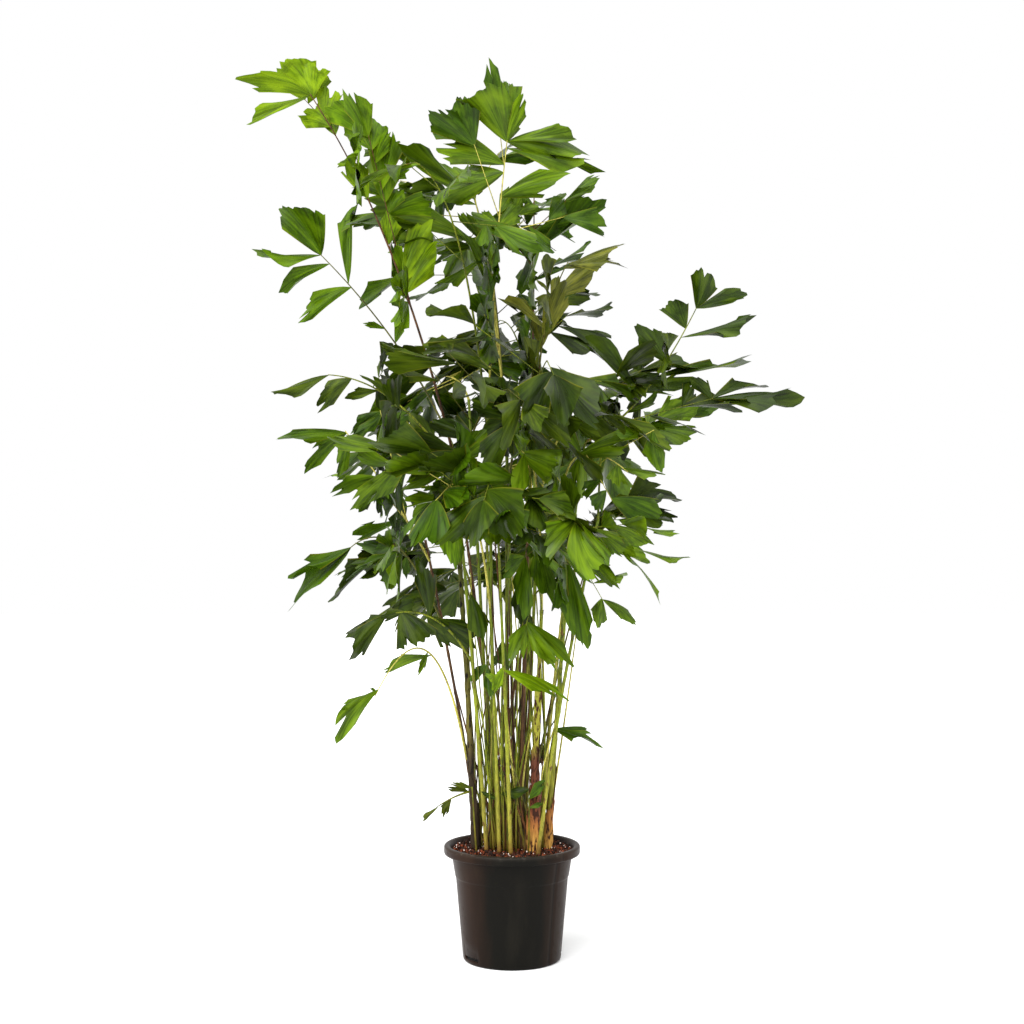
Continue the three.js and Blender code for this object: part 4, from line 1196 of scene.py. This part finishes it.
def add_sheath(work, curve, radius_at, at, facing, height, swell):
    for vert, across, climb in new_grid(work, *SHEATH_GRID):
        share = min(at + climb * height / curve.length, 1)
        tangent = curve.tangent(share)
        turn = math.radians(facing) + (2 * across - 1) * SHEATH_WRAP * (1 - climb) ** 0.7
        ray = Vector((math.cos(turn), math.sin(turn), 0))
        ray = (ray - tangent * ray.dot(tangent)).normalized()
        vert.co = curve.point(share) + ray * radius_at(at, turn) * (swell + SHEATH_LEAN * climb**3)


sheath_work = {look: new_work() for _, look, _ in SHEATHS}
for name, look, places in SHEATHS:
    index = [cane["name"] for cane in CANES].index(name)
    curve = cane_curves[index]
    for place in places:
        add_sheath(sheath_work[look], curve, cane_radius(CANES[index], curve, index), *place)
for look, work in sheath_work.items():
    finish_piece(work, f"sheaths_{look}", CANE_BARKS[look], closed=False)

# %% [markdown]
# ## Stalks and ribs
#
# A frond's stalk is thick where it leaves the cane and thin at its tip, and the side ribs are thinner
# still. They are joined by colour. Some fronds have pale stalks, and two have brown ones.

# %% Stalks and ribs as tubes
STALK_MOST_RADIUS = 3.4
STALK_TIP_RADIUS = 1.2
RIB_RADII = (1.5, 0.8)
STALK_COLOURS = {
    "frond_upper_left": "brown", "frond_thin_brown": "brown", "frond_top": "pale", "frond_top_left": "pale",
    "frond_centre_flag": "pale", "frond_back_top": "pale", "frond_olive": "olive",
}
DEALT_COLOURS = ["green", "olive", "green", "pale"]


def stalk_foot_radius(row):
    return min(lerp(*CANES[row["cane"]]["radii"], row["from"]), STALK_MOST_RADIUS)


stalk_work = {colour: new_work() for colour in STALK_BARKS}
stalk_nodes = {colour: [] for colour in STALK_BARKS}
for i, (row, stalk, sprays) in enumerate(fronds):
    colour = STALK_COLOURS.get(row["name"], DEALT_COLOURS[i % len(DEALT_COLOURS)])
    radius_at = tapering(stalk_foot_radius(row), STALK_TIP_RADIUS)
    add_tube(stalk_work[colour], stalk, radius_at, sides=8, steps=24)
    for curve, _ in sprays:
        if curve:
            add_tube(stalk_work[colour], curve, tapering(*RIB_RADII), sides=5, steps=4)
    stalk_nodes[colour].append(row["name"])

# %% [markdown]
# ## Young stems
#
# The clump is far denser near the pot than its main canes: suckers and the stalks of young fronds rise
# between them, many no thicker than a pencil. They start in the soil and end on a cane, so each is a bow
# from a spot in the clump to a spot high on one of the nearest canes.

# %% Young stems between the canes
YOUNG_STEMS = 84
CLUMP_HALF_WIDTH = 94
CLUMP_DEPTHS = (-58, 84)
NEIGHBOURS = 9
JOINED_AT = (0.3, 0.92)
YOUNG_BEND = 26
YOUNG_FOOT_RADII = (1.8, 4.4)
YOUNG_TIP_RADIUS = 1.5
SUCKER_RADII = (2.6, 1.4)
YOUNG_COLOURS = ["green", "olive", "brown", "pale", "green", "brown"]
YOUNG_SEED = 77
young_draw = draws_from(YOUNG_SEED)
for i in range(YOUNG_STEMS):
    turn, out = math.tau * young_draw(), math.sqrt(young_draw())
    depth = lerp(*CLUMP_DEPTHS, 0.5 + 0.5 * out * math.sin(turn))
    foot = Vector((CLUMP_HALF_WIDTH * out * math.cos(turn), depth, SOIL_TOP - SUNK))
    near = sorted(cane_curves, key=lambda curve: (curve.start - foot).length)
    joined = near[int(young_draw() * NEIGHBOURS)].point(lerp(*JOINED_AT, young_draw()))
    bend = foot.lerp(joined, BEND_AT)
    bend += Vector((sway(YOUNG_BEND, young_draw), sway(YOUNG_BEND, young_draw), 0))
    bend.z = lerp(foot.z, joined.z, 0.5)
    colour = YOUNG_COLOURS[int(young_draw() * len(YOUNG_COLOURS))]
    radius_at = tapering(lerp(*YOUNG_FOOT_RADII, young_draw() ** 1.6), YOUNG_TIP_RADIUS)
    add_tube(stalk_work[colour], Bow(foot, bend, joined), radius_at, sides=8, steps=30)
for _, stem, _ in suckers:
    add_tube(stalk_work["green"], stem, tapering(*SUCKER_RADII), sides=7, steps=16)

for colour, work in stalk_work.items():
    slot = "cane_brown" if colour == "brown" else "cane_green"
    piece = finish_piece(work, f"stalks_{colour}", STALK_BARKS[colour])
    for name in stalk_nodes[colour]:
        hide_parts(name)

# %% [markdown]
# ## Pot
#
# A nursery pot is blown from thin black plastic: a tapering bucket with a rounded foot, a step and a
# stiffening collar near the top, and a lip rolled outwards. All of this is one profile turned about the
# pot's axis, so `spin` makes it. A seam is pressed in by moving the points that lie on it. The drain slots
# near the foot are cut by taking away the faces of both walls there and bridging the two rims that this
# leaves.

# %% Pot as a turned profile
POT_SPIN_STEPS = 120
POT_PROFILE = [
    (0, 6), (60, 6), (114, 6.6), (117.6, 9), (118.4, 12), (119, 20), (122, 60), (129, 138), (134.6, 200),
    (137.6, 206), (139.4, 212), (145, 255), (146.6, 264), (149.4, 271), (153, 278.6), (155.6, 282.8),
    (158.4, 284.8), (164, 285), (167.6, 284.2), (169.5, 282), (170, 278.6), (170, 268.4), (169.2, 265),
    (167, 263.4), (155, 263), (151.6, 262), (150.2, 258), (146.6, 236), (142.4, 211), (141.8, 208.6),
    (141, 207.4), (140.4, 205.6), (140, 203), (134, 136), (126.8, 58), (123.6, 20), (122.8, 12),
    (122.4, 8), (121.4, 4), (119.4, 1.4), (116, 0), (104, 0), (101, 2.4), (60, 2.4), (0, 2.4),
]
WALL_FROM_RADIUS = 100
DRAIN_TURNS = (214, 142, 70, 358)
DRAIN_HALF_TURN = 13
DRAIN_HEIGHTS = (11, 21)
SEAM_TURNS = (318, 138)
SEAM_DEPTH = 1.9
SEAM_HALF_TURN = 0.03


def spun_profile(points, steps):
    work = new_work()
    row = [work.verts.new((radius, 0, height)) for radius, height in points]
    edges = [work.edges.new(pair) for pair in zip(row, row[1:])]
    turn = {"cent": (0, 0, 0), "axis": UP, "angle": math.tau, "steps": steps, "use_merge": True}
    bmesh.ops.spin(work, geom=row + edges, **turn)
    bmesh.ops.remove_doubles(work, verts=work.verts, dist=MERGE_DISTANCE)
    return work


def turn_of(point):
    return math.atan2(point.y, point.x)


def turn_apart(turn, degrees):
    return (turn - math.radians(degrees) + math.pi) % math.tau - math.pi


def in_drain(face, degrees):
    centre = face.calc_center_median()
    low, high = DRAIN_HEIGHTS
    beside = abs(turn_apart(turn_of(centre), degrees)) < math.radians(DRAIN_HALF_TURN)
    return low < centre.z < high and beside and abs(face.normal.z) < 0.5


pot_work = spun_profile(POT_PROFILE, POT_SPIN_STEPS)
for vert in pot_work.verts:
    radius, turn = math.hypot(vert.co.x, vert.co.y), turn_of(vert.co)
    if radius >= WALL_FROM_RADIUS:
        apart = [turn_apart(turn, degrees) / SEAM_HALF_TURN for degrees in SEAM_TURNS]
        shrunk = 1 - SEAM_DEPTH * sum(math.exp(-(gap**2)) for gap in apart) / radius
        vert.co.x *= shrunk
        vert.co.y *= shrunk
for degrees in DRAIN_TURNS:
    faces = [face for face in pot_work.faces if in_drain(face, degrees)]
    bmesh.ops.delete(pot_work, geom=faces, context="FACES")
    rims = [edge for edge in pot_work.edges if edge.is_boundary]
    bmesh.ops.bridge_loops(pot_work, edges=rims)
print("open edges left in the pot:", sum(edge.is_boundary for edge in pot_work.edges))

# %% [markdown]
# The plastic is nearly black, satin, and slightly orange-peeled from the mould. Handling scuffs it and
# leaves it dusty, with faint pale smears that run down the wall. A brown tint on its left and right sides,
# as seen from the front, is a painted reflection of the grazing light there. A dark line along the pressed
# seam is painted shade. The top of the lip is painted paler, more so on its scuffs, as a painted
# highlight that is partly real wear. Shader coordinates are in metres.

# %% Pot material
SIDE_REFLECTION_MIDDLE = 0.012
LIP_HIGHLIGHT_HEIGHTS = (0.276, 0.284)
SEAM_SHADE_EDGES = (0.0015, 0.003)
plastic = Finish("pot_plastic", Specular_IOR_Level=0.06)
smears = plastic.noise(plastic.place(1, 1, 0.22), 26, 5)
grain = plastic.noise(plastic.place(), 900, 2)
spots = plastic.noise(plastic.place(), 75, 4)
# Painted reflection: brown on the left and right sides as seen from the front.
painted_side_reflection = plastic.rise(abs(plastic.axis(0) - SIDE_REFLECTION_MIDDLE) + smears * 0.06, 0.085, 0.16)
seam_turn = math.radians(SEAM_TURNS[0])
from_seam = plastic.vector("DOT_PRODUCT", plastic.place(), (math.sin(seam_turn), -math.cos(seam_turn), 0), 1)
# Painted shade: a dark line along the pressed seam.
seam_painted_shade = plastic.fall(abs(from_seam) + smears * 0.001, *SEAM_SHADE_EDGES)
dusty = plastic.rise(smears, 0.5, 0.8)
scuffs_and_lip_highlight = plastic.rise(spots, 0.58, 0.68)
# Painted highlight: the top of the lip is painted paler, more on its scuffs; partly real wear.
lip_painted_highlight = plastic.rise(plastic.axis(2), *LIP_HIGHLIGHT_HEIGHTS)
wall = plastic.mix(painted_side_reflection * 0.7, linear(14, 13, 10), linear(44, 27, 18))
wall = plastic.mix(dusty * 0.2, wall, linear(42, 38, 31))
wall = plastic.mix(seam_painted_shade * 0.8, wall, linear(9, 8, 7))
wall = plastic.mix(lip_painted_highlight * 0.12 + scuffs_and_lip_highlight * lip_painted_highlight * 0.3, wall, linear(96, 89, 80))
plastic.colour(wall)
plastic.roughness(dusty * 0.15 + scuffs_and_lip_highlight * 0.12 + 0.36)
plastic.bump(grain * 0.4 + smears * 2 + spots * 0.5, 0.15, 0.001)
pot = finish_piece(pot_work, "pot_shell", plastic.material)
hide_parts("pot")

# %% [markdown]
# ## Potting mix
#
# The mix is coarse: chips of red-brown bark with white crumbs of perlite. The bed is a square grid pulled
# round into a disc, with its surface lifted by noise, and on it lie over a thousand chips. A chip is a box
# with its corners pulled about, which has few faces and still looks broken.

# %% Bed of the mix
BED_RADIUS = 151.5
BED_SQUARES = 70
BED_DROP = 3
bed_work = new_work()
for vert, across, along in new_grid(bed_work, BED_SQUARES, BED_SQUARES):
    x, y = 2 * across - 1, 2 * along - 1
    square = max(abs(x), abs(y))
    if square:
        reach = square / math.hypot(x, y)
        x, y = x * reach, y * reach
    lift = 4 * noise.noise(Vector((x * 9, y * 9, 3))) + 3 * noise.noise(Vector((x * 24, y * 24, 8)))
    vert.co = Vector((x * BED_RADIUS, y * BED_RADIUS, SOIL_TOP - BED_DROP + lift))
mix = Finish("potting_mix", Roughness=0.9, Specular_IOR_Level=0.2)
lumps = mix.noise(mix.place(), 160, 4)
mix.colour(mix.ramp(lumps, (0.36, linear(28, 14, 9)), (0.5, linear(66, 32, 18)), (0.66, linear(96, 50, 28))))
mix.bump(lumps, 0.8, 0.003)
bed = finish_piece(bed_work, "soil_bed", mix.material, closed=False)
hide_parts("soil")

# %% Chips and crumbs on the bed
CHIP_SEED = 99
CHIPS = 1200
CHIP_SIZES = (4, 11)
CHIP_CORNERS = (0.7, 1.15)
CRUMBS = 170
CRUMB_RADII = (0.9, 2.3)
CRUMB_CORNERS = (0.75, 1.2)
CRUMB_LIFT = 1.5
SCATTER_RADIUS = 146
SCATTER_HEIGHTS = (-3, 4)
CHIP_COLOURS = {
    "red": (linear(126, 60, 32), linear(78, 34, 18)),
    "brown": (linear(78, 42, 26), linear(46, 25, 16)),
    "dark": (linear(44, 26, 18), linear(26, 14, 10)),
}


def scattered(draw):
    turn, reach = math.tau * draw(), SCATTER_RADIUS * math.sqrt(draw())
    return Vector((math.cos(turn) * reach, math.sin(turn) * reach, SOIL_TOP + lerp(*SCATTER_HEIGHTS, draw())))


def turned(draw):
    return Euler([math.tau * draw() for _ in range(3)]).to_matrix().to_4x4()


def chip_finish(name, light, dark):
    finish = Finish(name, Roughness=0.8, Specular_IOR_Level=0.2)
    grain = finish.noise(finish.place(), 240, 3)
    finish.colour(finish.mix(finish.rise(grain, 0.4, 0.6), light, dark))
    finish.bump(grain, 0.5, 0.001)
    return finish.material


chip_draw = draws_from(CHIP_SEED)
for name, colours in CHIP_COLOURS.items():
    work = new_work()
    for _ in range(CHIPS // len(CHIP_COLOURS)):
        made = bmesh.ops.create_cube(work, size=1, calc_uvs=True)
        size = lerp(*CHIP_SIZES, chip_draw() ** 2)
        for vert in made["verts"]:
            vert.co *= lerp(*CHIP_CORNERS, chip_draw())
        width, height = size * lerp(0.5, 0.8, chip_draw()), size * lerp(0.25, 0.5, chip_draw())
        place = Matrix.Translation(scattered(chip_draw)) @ turned(chip_draw)
        place = place @ Matrix.Diagonal((size, width, height, 1))
        bmesh.ops.transform(work, matrix=place, verts=made["verts"])
    finish_piece(work, f"bark_chips_{name}", chip_finish(f"chips_{name}", *colours))

work = new_work()
for _ in range(CRUMBS):
    radius = lerp(*CRUMB_RADII, chip_draw())
    made = bmesh.ops.create_icosphere(work, subdivisions=1, radius=radius, calc_uvs=True)
    for vert in made["verts"]:
        vert.co *= lerp(*CRUMB_CORNERS, chip_draw())
    bmesh.ops.translate(work, vec=scattered(chip_draw) + UP * CRUMB_LIFT, verts=made["verts"])
perlite = chip_finish("perlite", linear(238, 226, 216), linear(206, 186, 176))
finish_piece(work, "perlite_crumbs", perlite)

# %% [markdown]
# ## Studio
#
# The photograph is a cut-out on white, so the plant stands on a wide white floor under a white sky, and
# neither shows a horizon. One soft sun from the upper left gives the leaves their form, and its shadow on
# the floor is so soft that only the contact at the pot's foot shows. A weak lamp opens the shadows from the
# right. From here on places are in metres.

# %% Floor
FLOOR_HALF = 14
floor_work = new_work()
bmesh.ops.create_grid(floor_work, x_segments=1, y_segments=1, size=FLOOR_HALF, calc_uvs=True)
paper = Finish("studio_paper", Roughness=0.9, Specular_IOR_Level=0.1)
fibres = paper.noise(paper.place(), 60, 2)
paper.colour(paper.mix(fibres, linear(252, 252, 252), linear(247, 247, 247)))
floor = add_object(floor_work, "studio_floor", paper.material)

# %% Lights, camera and view
CROWN = (0, 0, 1.4)
SENSOR_WIDTH = 36
VIEW_SQUARES = 1024


def lamp(kind, name, place, size, power):
    data = bpy.data.lights.new(name, kind)
    data.energy = power
    if kind == "SUN":
        data.angle = size
    else:
        data.shape, data.size = "SQUARE", size
    light = bpy.data.objects.new(name, data)
    bpy.context.scene.collection.objects.link(light)
    light.location = place
    light.rotation_euler = (Vector(CROWN) - Vector(place)).to_track_quat("-Z", "Y").to_euler()


lamp("SUN", "key_sun", (-1.8, -3.4, 5.2), 1.2, 4.4)
lamp("AREA", "fill_lamp", (3.6, -3.2, 2.4), 3.0, 40)

world = bpy.data.worlds.new("studio_air")
world.use_nodes = True
world.node_tree.nodes["Background"].inputs["Color"].default_value = (1, 1, 1, 1)
world.node_tree.nodes["Background"].inputs["Strength"].default_value = 1
bpy.context.scene.world = world

camera_data = bpy.data.cameras.new("front_camera")
camera_data.sensor_width = SENSOR_WIDTH
camera_data.lens = VIEW_DISTANCE / SQUARE / VIEW_SQUARES * SENSOR_WIDTH
camera = bpy.data.objects.new("front_camera", camera_data)
camera.location = (0, -VIEW_DISTANCE * MM, EYE_HEIGHT * MM)
camera.rotation_euler = (math.pi / 2, 0, 0)
bpy.context.scene.collection.objects.link(camera)
bpy.context.scene.camera = camera
bpy.context.scene.view_settings.view_transform = "Standard"
